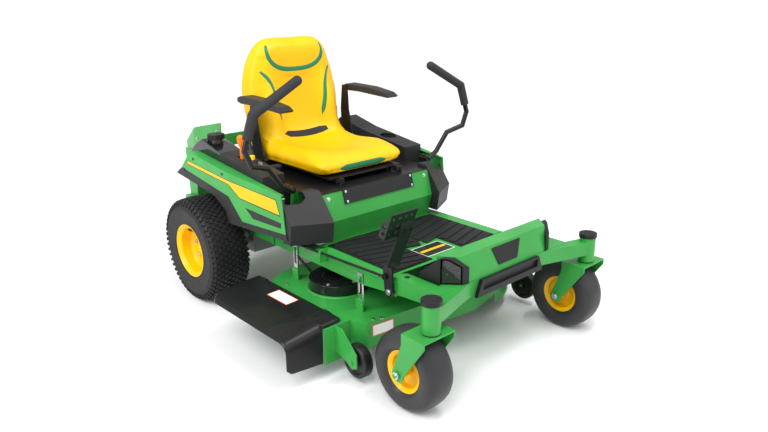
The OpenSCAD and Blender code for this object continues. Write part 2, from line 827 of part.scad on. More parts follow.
module deck_shell() color(green) difference() {
    union() {
        difference() {
            translate([0, 0, skirt_z]) linear_extrude(deck_top_z - skirt_z) deck_plan(0);
            translate([0, 0, skirt_z - 1])
                linear_extrude(deck_top_z - skirt_z + 1 - deck_wall) deck_plan(-deck_wall);
        }
        both() {
            for (y = link_ys) link_tab(y);
            gauge_bracket();
        }
        // Hinge ears and pins of the chute
        for (y = [-875, -475]) {
            block([chute_hinge_x - 8, y, deck_top_z - 1], [chute_hinge_x + 8, y + 14, chute_hinge_z]);
            bar_y(y, y + 44, chute_hinge_x, chute_hinge_z, 4);
        }
    }
    // Discharge opening in the right wall, lower edge of the front wall
    block([-spindle_x - deck_r - 20, -900, skirt_z - 1],
          [-spindle_x - deck_r + 12, -480, deck_top_z - 22]);
    block([-405, deck_front_y - 60, skirt_z - 1], [spindle_x, corner_y - 25, 98]);
    for (p = [[-spindle_x, right_spindle_y], [spindle_x, left_spindle_y]])
        translate([p.x, p.y, deck_top_z - 10]) cylinder(r = 42, h = 20);
}

module at_spindles() {
    translate([-spindle_x, right_spindle_y, 0]) children();
    translate([spindle_x, left_spindle_y, 0]) children();
}

module spindle_housings() color(dark_grey) at_spindles() difference() {
    union() {
        translate([0, 0, 100]) cylinder(r = 38, h = deck_top_z - 99);
        translate([0, 0, deck_top_z]) cylinder(r = 62, h = 8);
    }
    translate([0, 0, 99]) cylinder(r = spindle_bore_r + pin_gap, h = 130);
}

module blade_spindle() {
    color(steel) translate([0, 0, blade_z + 5]) cylinder(r = spindle_bore_r, h = 160);
    color(steel) translate([0, 0, belt_z - 9]) cylinder(r = deck_pulley_r, h = 18);
    color(dark_grey) translate([-blade_len / 2, -29, blade_z]) cube([blade_len, 58, 5]);
    color(steel) translate([0, 0, skirt_z]) cylinder(r = 14, h = blade_z - skirt_z);
}
module blade_spindle_left() translate([spindle_x, left_spindle_y, 0]) blade_spindle();
module blade_spindle_right() translate([-spindle_x, right_spindle_y, 0]) blade_spindle();

module deck_belt() color(black) belt_loop([
    [0, engine_y, motor_pulley_r], [spindle_x, left_spindle_y, deck_pulley_r],
    [-spindle_x, right_spindle_y, deck_pulley_r]], belt_z - belt_h / 2, belt_h);

// Covers open towards the middle and the rear, where the belt runs out
module belt_cover() difference() {
    translate([0, 0, deck_top_z]) cylinder(r = cover_r, h = cover_top_z - deck_top_z);
    translate([0, 0, deck_top_z - 1])
        cylinder(r = cover_r - 3, h = cover_top_z - deck_top_z - 2);
    block([-cover_r - 1, -30, deck_top_z - 1], [86, cover_r + 1, cover_top_z - 3]);
    block([-cover_r - 1, -95, deck_top_z - 1], [-60, 0, cover_top_z - 3]);
}
module belt_covers() color(black) {
    translate([spindle_x, left_spindle_y, 0]) belt_cover();
    translate([-spindle_x, right_spindle_y, 0]) mirror([1, 0, 0]) belt_cover();
}

module gauge_wheel() color(black) translate([gauge_x, gauge_y, gauge_z])
    turned([[6 + pin_gap, -gauge_w / 2 - 4], [14, -gauge_w / 2 - 4], [16, -gauge_w / 2 + 6],
            [44, -gauge_w / 2 + 6], [48, -gauge_w / 2], [58, -gauge_w / 2],
            [gauge_r, -gauge_w / 2 + 5], [gauge_r, gauge_w / 2 - 5], [58, gauge_w / 2],
            [48, gauge_w / 2], [44, gauge_w / 2 - 6], [16, gauge_w / 2 - 6],
            [14, gauge_w / 2 + 4], [6 + pin_gap, gauge_w / 2 + 4]]);
module gauge_wheel_left() gauge_wheel();
module gauge_wheel_right() right() gauge_wheel();

module discharge_chute() color(black) difference() {
    union() {
        cross_plate(chute_ys, [
            [chute_hinge_x + 3, chute_hinge_z + 4], [-560, chute_hinge_z + 1],
            [chute_out_x + 6, 192], [chute_out_x, 178], [chute_out_x + 4, 177],
            [chute_out_x + 10, 188], [-560, chute_hinge_z - 3],
            [chute_hinge_x - 9, chute_hinge_z]
        ]);
        cross_plate([chute_ys[0], chute_ys[0] + 4], [
            [-549, 62], [-549, chute_hinge_z - 1], [-560, chute_hinge_z], [chute_out_x + 8, 190],
            [chute_out_x + 20, 74]
        ]);
        cross_plate([chute_ys[1] - 4, chute_ys[1]], [
            [-600, chute_hinge_z - 5], [chute_out_x + 8, 190], [-690, 150], [-640, 140]
        ]);
        for (y = [-860.7, -460.7])
            bar_y(y, y + 28, chute_hinge_x, chute_hinge_z, 8);
    }
    for (y = [-875.3, -475.3]) {
        block([chute_hinge_x - 9, y, 190], [chute_hinge_x + 20, y + 14.6, 230]);
        bar_y(y, y + 44.8, chute_hinge_x, chute_hinge_z, 4 + pin_gap);
    }
}

module deck_links() color(steel) both() for (y = link_ys) difference() {
    side_plate(link_x, 6, [
        [y - 13, deck_top_z + 8], [y + 13, deck_top_z + 8],
        [y + 13, link_z + 17], [y - 13, link_z + 17]
    ]);
    bar_x(link_x - 1, link_x + 7, y, link_z, 7 + face_gap);
    bar_x(link_x - 1, link_x + 7, y, link_z - deck_travel - 1, 7 + face_gap);
    block([link_x - 1, y - 7 - face_gap, link_z - deck_travel - 1],
          [link_x + 7, y + 7 + face_gap, link_z]);
}

// ---- Deck lift ----

pad_x = -365;
pad_w = 120;
pad_hole = 28;
module lift_pedal() color(black) difference() {
    union() {
        bar_x(-rail_out - 21, -rail_out - 7, pedal_y, pedal_z, 19);
        side_plate(-rail_out - 21, 8, [
            [pedal_y - 19, pedal_z], [pedal_y + 19, pedal_z], [pedal_y + 27, 402],
            [pedal_y + 20, 418], [pedal_y - 18, 418]
        ]);
        // Arm leaning in over the rail
        cross_plate([pedal_y + 3, pedal_y + 10], [
            [-371, 392], [-328, 400], [-314, 414], [-252, 530], [-252, 578], [-302, 578],
            [-316, 520], [-371, 424]
        ]);
        // Foot pad with a flange on its outer side
        side_plate(pad_x, pad_w, [[-1034, 508], [-1078, 606], [-1083, 603], [-1040, 505]]);
        side_plate(pad_x, 5, [
            [-1037, 507], [-1012, 514], [-1030, 572], [-1066, 580], [-1078, 602]
        ]);
        bar_x(-rod_x - 7, -rail_out - 14, rod_y, rod_z, 4);
    }
    bar_x(-400, -300, pedal_y, pedal_z, 9 + pin_gap);
    for (i = [0 : 2]) for (j = [0 : 3])
        bar_y(-1120, -1000, pad_x + 18 + j * pad_hole, 528 + i * pad_hole, 7);
    for (p = [[-1037, 528], [-1042, 553]]) bar_x(pad_x - 1, pad_x + 6, p.x, p.y, 8);
}

module rod_bar(r)
    strut([-rod_x, rod_rear.x, rod_rear.y], [-rod_x, rod_y + 6, rod_z], r);
module lift_rod() color(black) difference() {
    union() {
        rod_bar(rod_r);
        bar_x(-rod_x - 4, -rod_x + 4, rod_y, rod_z, 11);
    }
    bar_x(-rod_x - 12, -rod_x + 12, rod_y, rod_z, 4 + pin_play);
}

// ---- Control levers ----

module control_arm() color(black) difference() {
    union() {
        bar_x(rail_in + 30 + face_gap, swing_x - 8, arm_y, arm_z, 15);
        side_plate(swing_x - 16, 8, [
            [arm_y - 14, arm_z - 4], [arm_y + 14, arm_z - 4],
            [swing_y + 18, swing_z + 16], [swing_y - 14, swing_z + 16]
        ]);
        bar_y(swing_y - 14, swing_y + 18, swing_x - 8, swing_z, 13);
    }
    bar_x(300, 400, arm_y, arm_z, arm_pin_r + pin_gap);
    bar_y(swing_y - 60, swing_y + 60, swing_x - 8, swing_z, swing_pin_r + pin_gap);
}
module control_arm_left() control_arm();
module control_arm_right() right() control_arm();

lever_bend = [lever_out_x, lever_y, 765];
lever_knee = [lever_out_x - 44, lever_y, 888];
lever_tip = [346, lever_y, lever_tip_z - 12];
lever_path = [
    [swing_x - 8, swing_y - 32, swing_z], [418, -524, 599], [479, -532, 680],
    [lever_out_x - 26, lever_y, 704], lever_bend, lever_knee, lever_tip
];
module lever() color(black) {
    bent_tube(lever_path, lever_r);
    // Swing pin and the washer plate in front of the arm
    bar_y(swing_y - 30, swing_y + 20, swing_x - 8, swing_z, swing_pin_r);
    bar_y(swing_y - 36, swing_y - 14 - face_gap, swing_x - 8, swing_z, 14);
}
module lever_left() lever();
module lever_right() right() lever();

grip_r = 18;
grip_fit = 0.05;
grip_start = lever_bend + 0.3 * (lever_knee - lever_bend);
module grip() color(dark_grey) difference() {
    union() {
        strut(grip_start, lever_knee, grip_r);
        translate(lever_knee) sphere(r = grip_r + 0.3);
        strut(lever_knee, lever_tip, grip_r);
        translate(lever_tip) sphere(r = grip_r + 0.3);
    }
    strut(lever_bend, lever_knee, lever_r + grip_fit);
    translate(lever_knee) sphere(r = lever_r + 0.3 + grip_fit);
    strut(lever_knee, lever_tip, lever_r + grip_fit);
}
module grip_left() grip();
module grip_right() right() grip();

// ---- Seat ----

bracket_x = seat_half_w + 2;
module seat_base() color(black) {
    block([-190, seat_hinge_y + 20, seat_pan_z - 6], [190, -150, seat_pan_z]);
    block([-bracket_x - 5, -151, seat_pan_z - 6], [bracket_x + 5, -60, seat_pan_z]);
    both() {
        // Slide rail and bumper on the platform
        block([118, seat_hinge_y + 30, panel_top_z + sheet + face_gap],
              [148, -120, seat_pan_z - 5]);
        // Hinge knuckle and pin
        block([143, seat_hinge_y - 10, seat_hinge_z - 9],
              [158, seat_hinge_y + 22, seat_pan_z]);
        bar_x(150, 175, seat_hinge_y, seat_hinge_z, 5);
        // Bracket that carries the back and the armrest
        side_plate(bracket_x, 5, [
            [-150, seat_pan_z - 6], [-60, seat_pan_z - 6], [-52, 760], [-66, armrest_z + 10],
            [-104, armrest_z + 10], [-110, 760]
        ]);
        bar_x(bracket_x + 4, bracket_x + 20, armrest_y, armrest_z, 6);
    }
}

module seat_cushion() color(yellow) intersection() {
    side_plate(-300, 600, [
        [-505, seat_pan_z + face_gap], [-523, 605], [-520, 628], [-488, 650], [-400, 655],
        [-250, 645], [-130, 655], [-72, 695], [-52, 800], [-40, 964], [-50, 1031],
        [-30, seat_top_z - 10], [5, seat_top_z], [40, seat_top_z - 18], [60, 1000],
        [56, 850], [38, 700], [10, 620], [-30, seat_pan_z + face_gap]
    ]);
    translate([0, 100, 0]) rotate([90, 0, 0]) linear_extrude(700) polygon(concat(
        [for (p = seat_edge) [-p.x, p.y]],
        [for (i = [len(seat_edge) - 1 : -1 : 0]) seat_edge[i]]
    ));
}
seat_edge = [
    [seat_half_w - 25, seat_pan_z], [seat_half_w - 3, 620], [seat_half_w - 3, 660],
    [seat_half_w - 12, 725], [seat_half_w, 800], [seat_half_w, 890],
    [seat_half_w - 20, 970], [seat_half_w - 55, seat_top_z - 53],
    [seat_half_w - 90, seat_top_z - 15], [seat_half_w - 130, seat_top_z]
];

module armrest() color(dark_grey) difference() {
    side_plate(bracket_x + 5 + face_gap, 60, [
        [-64, armrest_z - 8], [-64, armrest_z + 8], [-90, armrest_z + 17],
        [-250, armrest_z + 15], [-360, armrest_z + 2], [-387, armrest_z - 12],
        [-380, armrest_z - 20], [-330, armrest_z - 18], [-180, armrest_z - 12],
        [-90, armrest_z - 14]
    ]);
    bar_x(bracket_x, bracket_x + 21, armrest_y, armrest_z, 6 + pin_gap);
}
module armrest_left() armrest();
module armrest_right() right() armrest();

// ---- Nodes ----

place() main_frame();
place() floor_pan();
place() foot_mats();
place() front_panel();
place() seat_platform();
place() nose_cover();
place() nose_trim();
place() lamp_lenses();
place() fender_left();
place() fender_right();
place() body_trim();
place() console_left();
place() console_right();
place() rear_guard();
place() fuel_tank();
place() fuel_cap();
place() engine_block();
place() engine_shroud();
place() muffler();
place() transaxles();
place() engine_pulley();
place() battery();
place() caster_bearings();
place() caster_fork_left();
place() caster_fork_right();
place() caster_rim_left();
place() caster_rim_right();
place() caster_tire_left();
place() caster_tire_right();
place() rear_hub_left();
place() rear_hub_right();
place() rear_rim_left();
place() rear_rim_right();
place() rear_tire_left();
place() rear_tire_right();
place() deck_shell();
place() spindle_housings();
place() blade_spindle_left();
place() blade_spindle_right();
place() deck_belt();
place() belt_covers();
place() gauge_wheel_left();
place() gauge_wheel_right();
place() discharge_chute();
place() deck_links();
place() lift_pedal();
place() lift_rod();
place() control_arm_left();
place() control_arm_right();
place() lever_left();
place() lever_right();
place() grip_left();
place() grip_right();
place() seat_base();
place() seat_cushion();
place() armrest_left();
place() armrest_right();
place() throttle_lever();
place() blade_knob();
place() ignition_key();
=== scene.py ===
# %% [markdown]
# # Zero turn mower: the looks
# The CAD model is a fixed frame: each node keeps its size and place. This lesson gives it finishes,
# rounded edges, treaded tires, an upholstered seat and small hardware. First the frame is loaded.

# %% Load the frame
import json
import math
import bmesh
import bpy
import numpy as np
from mathutils import Matrix, Vector
from mathutils.bvhtree import BVHTree


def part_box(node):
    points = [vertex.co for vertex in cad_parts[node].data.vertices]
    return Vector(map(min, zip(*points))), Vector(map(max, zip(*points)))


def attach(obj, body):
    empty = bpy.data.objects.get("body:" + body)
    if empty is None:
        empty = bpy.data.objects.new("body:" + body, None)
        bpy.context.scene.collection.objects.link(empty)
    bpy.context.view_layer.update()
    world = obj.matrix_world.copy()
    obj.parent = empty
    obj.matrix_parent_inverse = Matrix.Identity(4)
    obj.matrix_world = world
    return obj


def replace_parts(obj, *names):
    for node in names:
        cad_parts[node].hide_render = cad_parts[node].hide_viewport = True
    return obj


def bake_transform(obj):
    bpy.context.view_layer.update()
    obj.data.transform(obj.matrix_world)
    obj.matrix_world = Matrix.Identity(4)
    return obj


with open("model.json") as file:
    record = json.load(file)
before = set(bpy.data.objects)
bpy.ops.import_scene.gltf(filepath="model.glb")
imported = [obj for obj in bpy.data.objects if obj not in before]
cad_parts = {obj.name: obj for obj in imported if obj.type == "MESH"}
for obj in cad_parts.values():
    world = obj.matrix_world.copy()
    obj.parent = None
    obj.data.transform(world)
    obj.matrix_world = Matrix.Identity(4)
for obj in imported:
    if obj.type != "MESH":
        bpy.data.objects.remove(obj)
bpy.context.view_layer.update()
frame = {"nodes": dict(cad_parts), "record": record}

# %% [markdown]
# ## One working origin
# A mower is drawn from the rear axle, so places here are millimetres from the middle of that axle on
# the ground: X to the operator's left, Y to the rear, Z up. `at` turns them into the frame's metres.
# The axle's place is measured on the rear tires, so the script follows the CAD.

# %% The rear axle as origin
tire_boxes = [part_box(f"rear_tire_{side}") for side in ("left", "right")]
axle = sum((low + high for low, high in tire_boxes), Vector()) / 4
SIDES = (("left", 1), ("right", -1))


def at(x, y, z):
    return Vector((axle.x + x / 1000, axle.y + y / 1000, z / 1000))


print("Rear axle at", [round(v, 4) for v in axle])

# %% [markdown]
# ## Camera and light
# The camera stands in front of the machine on the operator's right. A wide pale floor, an even sky
# and two soft suns give the light of a product studio, with soft shadows under the deck.

# %% Camera
camera = bpy.data.objects.new("camera", bpy.data.cameras.new("camera"))
bpy.context.scene.collection.objects.link(camera)
camera.location = at(-1828.25, -2685.6, 1328.97)
camera_way = Vector((0.6536, 0.6854, -0.3211))
camera.rotation_mode = "QUATERNION"
camera.rotation_quaternion = camera_way.to_track_quat("-Z", "Y")
camera.data.lens = 32.757
camera.data.shift_x = -0.0294
camera.data.shift_y = 0.0039
camera.data.clip_end = 400
bpy.context.scene.camera = camera
print("Camera at", [round(v, 3) for v in camera.location])

# %% Sky, suns and floor
scene = bpy.context.scene
scene.view_settings.view_transform = "Standard"
world = bpy.data.worlds.new("studio")
world.use_nodes = True
sky = world.node_tree.nodes["Background"]
sky.inputs["Color"].default_value = (1, 1, 1, 1)
sky.inputs["Strength"].default_value = 0.62
scene.world = world


def add_sun(name, direction, strength, spread):
    sun = bpy.data.objects.new(name, bpy.data.lights.new(name, "SUN"))
    sun.data.energy = strength
    sun.data.angle = math.radians(spread)
    sun.rotation_mode = "QUATERNION"
    sun.rotation_quaternion = Vector(direction).to_track_quat("-Z", "Y")
    scene.collection.objects.link(sun)


add_sun("key", (0.75, 0.35, -1.1), 1.75, 35)
add_sun("fill", (-0.5, 0.9, -0.8), 0.9, 60)


def add_panel(name, place, target, size, power):
    lamp = bpy.data.objects.new(name, bpy.data.lights.new(name, "AREA"))
    lamp.data.energy = power
    lamp.data.shape = "RECTANGLE"
    lamp.data.size, lamp.data.size_y = size
    lamp.location = place
    lamp.rotation_mode = "QUATERNION"
    lamp.rotation_quaternion = (Vector(target) - Vector(place)).to_track_quat("-Z", "Y")
    scene.collection.objects.link(lamp)


add_panel("strip_left", (-3.2, 0.4, 2.2), (0, 0, 0.5), (0.5, 2.6), 60)
add_panel("strip_top", (0.6, -1.2, 3.4), (0, 0, 0.4), (2.4, 0.5), 45)

floor_mesh = bmesh.new()
bmesh.ops.create_grid(floor_mesh, x_segments=1, y_segments=1, size=150)
floor_data = bpy.data.meshes.new("floor")
floor_mesh.to_mesh(floor_data)
floor_mesh.free()
floor = bpy.data.objects.new("floor", floor_data)
scene.collection.objects.link(floor)

# %% [markdown]
# ## Finishes
# Every finish is a small node tree on Object coordinates. A broad noise shifts the colour a little, a
# fine one makes the grain that a hand would feel, and a third varies the gloss, as dust and wear do.
# Real grain is under a millimetre, so the scales are in repeats for each metre.

# %% A helper for finishes
def finish(name, colour, roughness, tone=0.08, grain=1500, depth=0.02, metal=0.0, coat=0.0,
           gloss_shift=0.08, cells=False, tone_scale=7, ior=1.5, stretch=(1, 1, 1), shine=0.28):
    """tone and gloss_shift are spreads; grain and tone_scale are repeats a metre; depth drives the bump."""
    material = bpy.data.materials.new(name)
    material.use_nodes = True
    tree = material.node_tree
    shader = tree.nodes["Principled BSDF"]
    shader.inputs["Metallic"].default_value = metal
    shader.inputs["Coat Weight"].default_value = coat
    shader.inputs["Coat Roughness"].default_value = 0.08
    shader.inputs["IOR"].default_value = ior
    shader.inputs["Specular IOR Level"].default_value = shine
    place = tree.nodes.new("ShaderNodeTexCoord")
    mapping = tree.nodes.new("ShaderNodeMapping")
    mapping.inputs["Scale"].default_value = stretch
    tree.links.new(place.outputs["Object"], mapping.inputs["Vector"])
    broad = tree.nodes.new("ShaderNodeTexNoise")
    broad.inputs["Scale"].default_value = tone_scale
    broad.inputs["Detail"].default_value = 5
    ramp = tree.nodes.new("ShaderNodeValToRGB")
    dark, light = (tuple(min(1, c * k) for c in colour) + (1,) for k in (1 - tone, 1 + tone))
    ramp.color_ramp.elements[0].position, ramp.color_ramp.elements[0].color = 0.3, dark
    ramp.color_ramp.elements[1].position, ramp.color_ramp.elements[1].color = 0.7, light
    fine = tree.nodes.new("ShaderNodeTexVoronoi" if cells else "ShaderNodeTexNoise")
    fine.inputs["Scale"].default_value = grain
    bump = tree.nodes.new("ShaderNodeBump")
    bump.inputs["Strength"].default_value = min(1.0, depth * 10)
    bump.inputs["Distance"].default_value = 0.001 * min(1.0, depth * 10)
    gloss = tree.nodes.new("ShaderNodeMapRange")
    gloss.inputs["To Min"].default_value = max(0.03, roughness - gloss_shift)
    gloss.inputs["To Max"].default_value = min(1.0, roughness + gloss_shift)
    smear = tree.nodes.new("ShaderNodeTexNoise")
    smear.inputs["Scale"].default_value = 23
    smear.inputs["Detail"].default_value = 4
    for texture in (broad, fine, smear):
        tree.links.new(mapping.outputs["Vector"], texture.inputs["Vector"])
    tree.links.new(broad.outputs[0], ramp.inputs["Fac"])
    tree.links.new(ramp.outputs["Color"], shader.inputs["Base Color"])
    tree.links.new(fine.outputs[0], bump.inputs["Height"])
    tree.links.new(bump.outputs["Normal"], shader.inputs["Normal"])
    tree.links.new(smear.outputs[0], gloss.inputs["Value"])
    tree.links.new(gloss.outputs["Result"], shader.inputs["Roughness"])
    return material


studio_white = finish("studio_white", (0.86, 0.86, 0.87), 0.85, tone=0.005, depth=0.0, tone_scale=0.4)
floor_data.materials.append(studio_white)

# %% [markdown]
# The frame, deck and guards are powder coated steel: an even gloss with a slight orange peel, which is
# a soft noise of a few millimetres. The fenders are moulded in the same green and shine a little less.

# %% Paints
green_paint = finish("green_paint", (0.034, 0.30, 0.05), 0.33, grain=260, depth=0.018, coat=0.15)
green_plastic = finish("green_plastic", (0.036, 0.31, 0.055), 0.36, grain=900, depth=0.012, coat=0.1)
yellow_paint = finish("yellow_paint", (0.86, 0.47, 0.0), 0.34, tone=0.04, grain=260, depth=0.015, coat=0.1)
black_paint = finish("black_paint", (0.008, 0.008, 0.009), 0.36, tone=0.15, grain=300, depth=0.02, coat=0.1)
yellow_decal = finish("yellow_decal", (0.8, 0.45, 0.0), 0.34, tone=0.02, grain=700, depth=0.005)
black_decal = finish("black_decal", (0.012, 0.012, 0.013), 0.25, tone=0.1, grain=700, depth=0.005)
pale_decal = finish("pale_decal", (0.85, 0.85, 0.83), 0.35, tone=0.03, grain=700, depth=0.005)
orange_decal = finish("orange_decal", (0.9, 0.13, 0.02), 0.35, tone=0.05, grain=700, depth=0.005)

# %% [markdown]
# Moulded plastics differ in their grain. The consoles and the trim have a fine spark-eroded texture that
# scatters light, while the belt covers, the chute and the tank came out of polished moulds.

# %% Plastics and rubber
grey_plastic = finish("grey_plastic", (0.021, 0.0205, 0.022), 0.48, tone=0.1, grain=1700, depth=0.05,
                      cells=True)
black_plastic = finish("black_plastic", (0.010, 0.010, 0.011), 0.4, tone=0.12, grain=1200, depth=0.03)
gloss_black = finish("gloss_black", (0.009, 0.009, 0.011), 0.14, tone=0.1, grain=400, depth=0.006, coat=0.6)
chute_plastic = finish("chute_plastic", (0.009, 0.009, 0.010), 0.33, tone=0.15, grain=1100, depth=0.02)
tire_rubber = finish("tire_rubber", (0.016, 0.016, 0.017), 0.6, tone=0.2, grain=650, depth=0.04)
caster_rubber = finish("caster_rubber", (0.03, 0.03, 0.032), 0.42, tone=0.15, grain=500, depth=0.02)
mat_rubber = finish("mat_rubber", (0.009, 0.009, 0.010), 0.55, tone=0.2, grain=900, depth=0.04)
belt_rubber = finish("belt_rubber", (0.02, 0.02, 0.02), 0.7, tone=0.2, grain=900, depth=0.05)
foam = finish("foam", (0.03, 0.03, 0.033), 0.78, tone=0.15, grain=1400, depth=0.08, cells=True)
orange_plastic = finish("orange_plastic", (1.0, 0.19, 0.0), 0.28, tone=0.05, grain=800, depth=0.01)
yellow_plastic = finish("yellow_plastic", (1.0, 0.62, 0.0), 0.3, tone=0.05, grain=800, depth=0.01)

# %% [markdown]
# Bare metals reflect more than they scatter. Zinc plate is bright with a cloudy spangle, the castings are
# pitted, and the muffler is heat-resistant black. The lens is clear plastic over a bright reflector.

# %% Metals and lens
zinc = finish("zinc", (0.62, 0.63, 0.65), 0.28, tone=0.12, grain=500, depth=0.015, metal=1.0, tone_scale=60)
cast_alloy = finish("cast_alloy", (0.36, 0.36, 0.37), 0.5, tone=0.15, grain=520, depth=0.06, metal=1.0,
                    cells=True)
dark_iron = finish("dark_iron", (0.06, 0.055, 0.052), 0.62, tone=0.3, grain=600, depth=0.06, metal=0.6)
blade_steel = finish("blade_steel", (0.12, 0.12, 0.125), 0.4, tone=0.15, grain=300, depth=0.02, metal=0.8,
                     stretch=(1, 8, 1))
reflector = finish("reflector", (0.75, 0.76, 0.78), 0.12, tone=0.05, grain=300, depth=0.01, metal=1.0)
lens = finish("lens", (0.2, 0.2, 0.21), 0.06, tone=0.02, grain=250, depth=0.02, gloss_shift=0.03, ior=1.49)
lens.node_tree.nodes["Principled BSDF"].inputs["Transmission Weight"].default_value = 0.9

# %% [markdown]
# ## Which node gets which finish
# CAD nodes with the right shape keep it and take a finish. Sheet metal and mouldings also need soft
# edges, because no bent or moulded edge is sharp: that thin highlight makes a part look real.

# %% Finishes for nodes, and the width of their edges in millimetres
LOOK = {
    "main_frame": (green_paint, 3.0), "floor_pan": (green_paint, 1.2), "front_panel": (green_paint, 1.2),
    "nose_cover": (green_paint, 4.0), "rear_guard": (green_paint, 1.5), "deck_shell": (green_paint, 1.2),
    "caster_fork_left": (green_paint, 1.8), "caster_fork_right": (green_paint, 1.8),
    "fender_left": (green_plastic, 1.4), "fender_right": (green_plastic, 1.4),
    "caster_rim_left": (yellow_paint, 0), "caster_rim_right": (yellow_paint, 0),
    "rear_rim_left": (yellow_paint, 0), "rear_rim_right": (yellow_paint, 0),
    "seat_platform": (black_paint, 1.2), "lift_pedal": (black_paint, 1.2), "lift_rod": (black_paint, 0),
    "control_arm_left": (black_paint, 1), "control_arm_right": (black_paint, 1),
    "lever_left": (black_paint, 0), "lever_right": (black_paint, 0), "seat_base": (black_paint, 1),
    "body_trim": (grey_plastic, 1.5), "console_left": (grey_plastic, 5), "console_right": (grey_plastic, 5),
    "nose_trim": (black_plastic, 0), "belt_covers": (gloss_black, 2.5), "discharge_chute": (chute_plastic, 0),
    "caster_bearings": (black_plastic, 1.2), "fuel_cap": (black_plastic, 1),
    "armrest_left": (grey_plastic, 8), "armrest_right": (grey_plastic, 8),
    "gauge_wheel_left": (black_plastic, 1), "gauge_wheel_right": (black_plastic, 1),
    "fuel_tank": (gloss_black, 7), "engine_shroud": (gloss_black, 4), "battery": (gloss_black, 2),
    "foot_mats": (mat_rubber, 0), "grip_left": (foam, 0), "grip_right": (foam, 0),
    "engine_block": (cast_alloy, 1), "transaxles": (cast_alloy, 1), "spindle_housings": (cast_alloy, 1),
    "muffler": (dark_iron, 2), "engine_pulley": (zinc, 0), "deck_links": (zinc, 0.8),
    "rear_hub_left": (zinc, 0.6), "rear_hub_right": (zinc, 0.6), "ignition_key": (zinc, 0.5),
    "blade_spindle_left": (blade_steel, 0), "blade_spindle_right": (blade_steel, 0),
    "deck_belt": (belt_rubber, 0), "lamp_lenses": (lens, 0),
    "caster_tire_left": (caster_rubber, 0), "caster_tire_right": (caster_rubber, 0),
    "rear_tire_left": (tire_rubber, 0), "rear_tire_right": (tire_rubber, 0),
    "throttle_lever": (orange_plastic, 0.8), "blade_knob": (yellow_plastic, 0),
    "seat_cushion": (yellow_plastic, 0),
}
for node, (material, edge) in LOOK.items():
    data = frame["nodes"][node].data
    data.materials.clear()
    data.materials.append(material)
body_of = {n: b for b, members in frame["record"]["behaviour"]["bodies"].items() for n in members}
print(len(LOOK), "nodes have a finish; without one:", sorted(set(frame["nodes"]) - set(LOOK)))

# %% Turn a bmesh into a piece that rides on a body, or on none
def add_piece(name, mesh, body, material, crease=35):
    data = bpy.data.meshes.new(name)
    mesh.to_mesh(data)
    mesh.free()
    data.materials.append(material)
    data.shade_smooth()
    data.set_sharp_from_angle(angle=math.radians(crease))
    piece = bpy.data.objects.new(name, data)
    scene.collection.objects.link(piece)
    if body:
        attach(piece, body)
    return piece


# %% [markdown]
# ## Soft edges
# A CAD node's mesh is loose triangles. A copy is merged, its flat regions become single faces, and a
# Bevel modifier rounds the remaining sharp edges. The copy stands for the node and rides on its body.

# %% Copies with soft edges
def merged_copy(node):
    mesh = bmesh.new()
    mesh.from_mesh(frame["nodes"][node].data)
    bmesh.ops.remove_doubles(mesh, verts=mesh.verts, dist=2e-6)
    bmesh.ops.dissolve_limit(mesh, angle_limit=math.radians(0.4), verts=mesh.verts, edges=mesh.edges)
    return mesh


def soften(node, material, edge, shape=None):
    mesh = merged_copy(node)
    if shape:
        shape(mesh)
    piece = add_piece(f"{node}_finished", mesh, body_of[node], material, crease=28)
    bevel = piece.modifiers.new("soft_edges", "BEVEL")
    bevel.width = edge / 1000
    bevel.segments = 2
    bevel.limit_method = "ANGLE"
    bevel.angle_limit = math.radians(28)
    bevel.harden_normals = True
    bevel.use_clamp_overlap = True
    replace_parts(piece, node)


def round_edges(piece, width):
    bevel = piece.modifiers.new("soft_edges", "BEVEL")
    bevel.width, bevel.segments = width, 2


for node, (material, edge) in LOOK.items():
    if edge:
        soften(node, material, edge)
print("Softened:", sum(1 for _, edge in LOOK.values() if edge))

# %% [markdown]
# ## The seat
# The real seat is one moulded foam with a vinyl skin: a fat cushion, a tall back with side bolsters and
# a head pad. A box of patches would take long to blend. The solid is remeshed, relaxed until its edges
# turn into wide rolls, pushed into bolsters and dishes, and then a short cloth simulation with air
# pressure gives the skin its taut swell.

# %% Vinyl
vinyl = finish("vinyl", (0.78, 0.455, 0.0), 0.42, tone=0.035, grain=750, depth=0.035, cells=True,
               gloss_shift=0.06)
strip_vinyl = finish("strip_vinyl", (0.02, 0.19, 0.08), 0.42, tone=0.06, grain=750, depth=0.03, cells=True)
# painted shade: near black that stands for the shade inside the seat's slit
slit_painted_shade = finish("slit_painted_shade", (0.018, 0.018, 0.024), 0.6, tone=0.15, grain=900, depth=0.03)


def bell(value, centre, inner, outer):
    """A bell curve from 0 to 1, with a width of its own on each side of its centre."""
    width = inner if value < centre else outer
    return math.exp(-((value - centre) / width) ** 2)


def from_row(place):
    """The reverse of at(): millimetres from the rear axle."""
    return np.array([(place[0] - axle.x) * 1000, (place[1] - axle.y) * 1000, place[2] * 1000])


def relax(mesh, rounds):
    for _ in range(rounds):
        bmesh.ops.smooth_vert(mesh, verts=mesh.verts, factor=0.5,
                              use_axis_x=True, use_axis_y=True, use_axis_z=True)


# %% Remesh and relax
SEAT_VOXEL = 0.0085
seat = add_piece("seat_upholstery", merged_copy("seat_cushion"), "seat", vinyl, crease=180)
remesh = seat.modifiers.new("even_skin", "REMESH")
remesh.mode = "VOXEL"
remesh.voxel_size = SEAT_VOXEL
skin = bmesh.new()
skin.from_object(seat, bpy.context.evaluated_depsgraph_get())
seat.modifiers.remove(remesh)
relax(skin, 70)
points = np.array([from_row(v.co) for v in skin.verts])
seat_low, seat_high = (from_row(corner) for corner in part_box("seat_cushion"))
low, high = points.min(axis=0), points.max(axis=0)
inset = np.array([5, 6, 1.5])
points = (points - low) / (high - low) * (seat_high - seat_low - 2 * inset) + seat_low + inset
print("Skin:", len(points), "points")

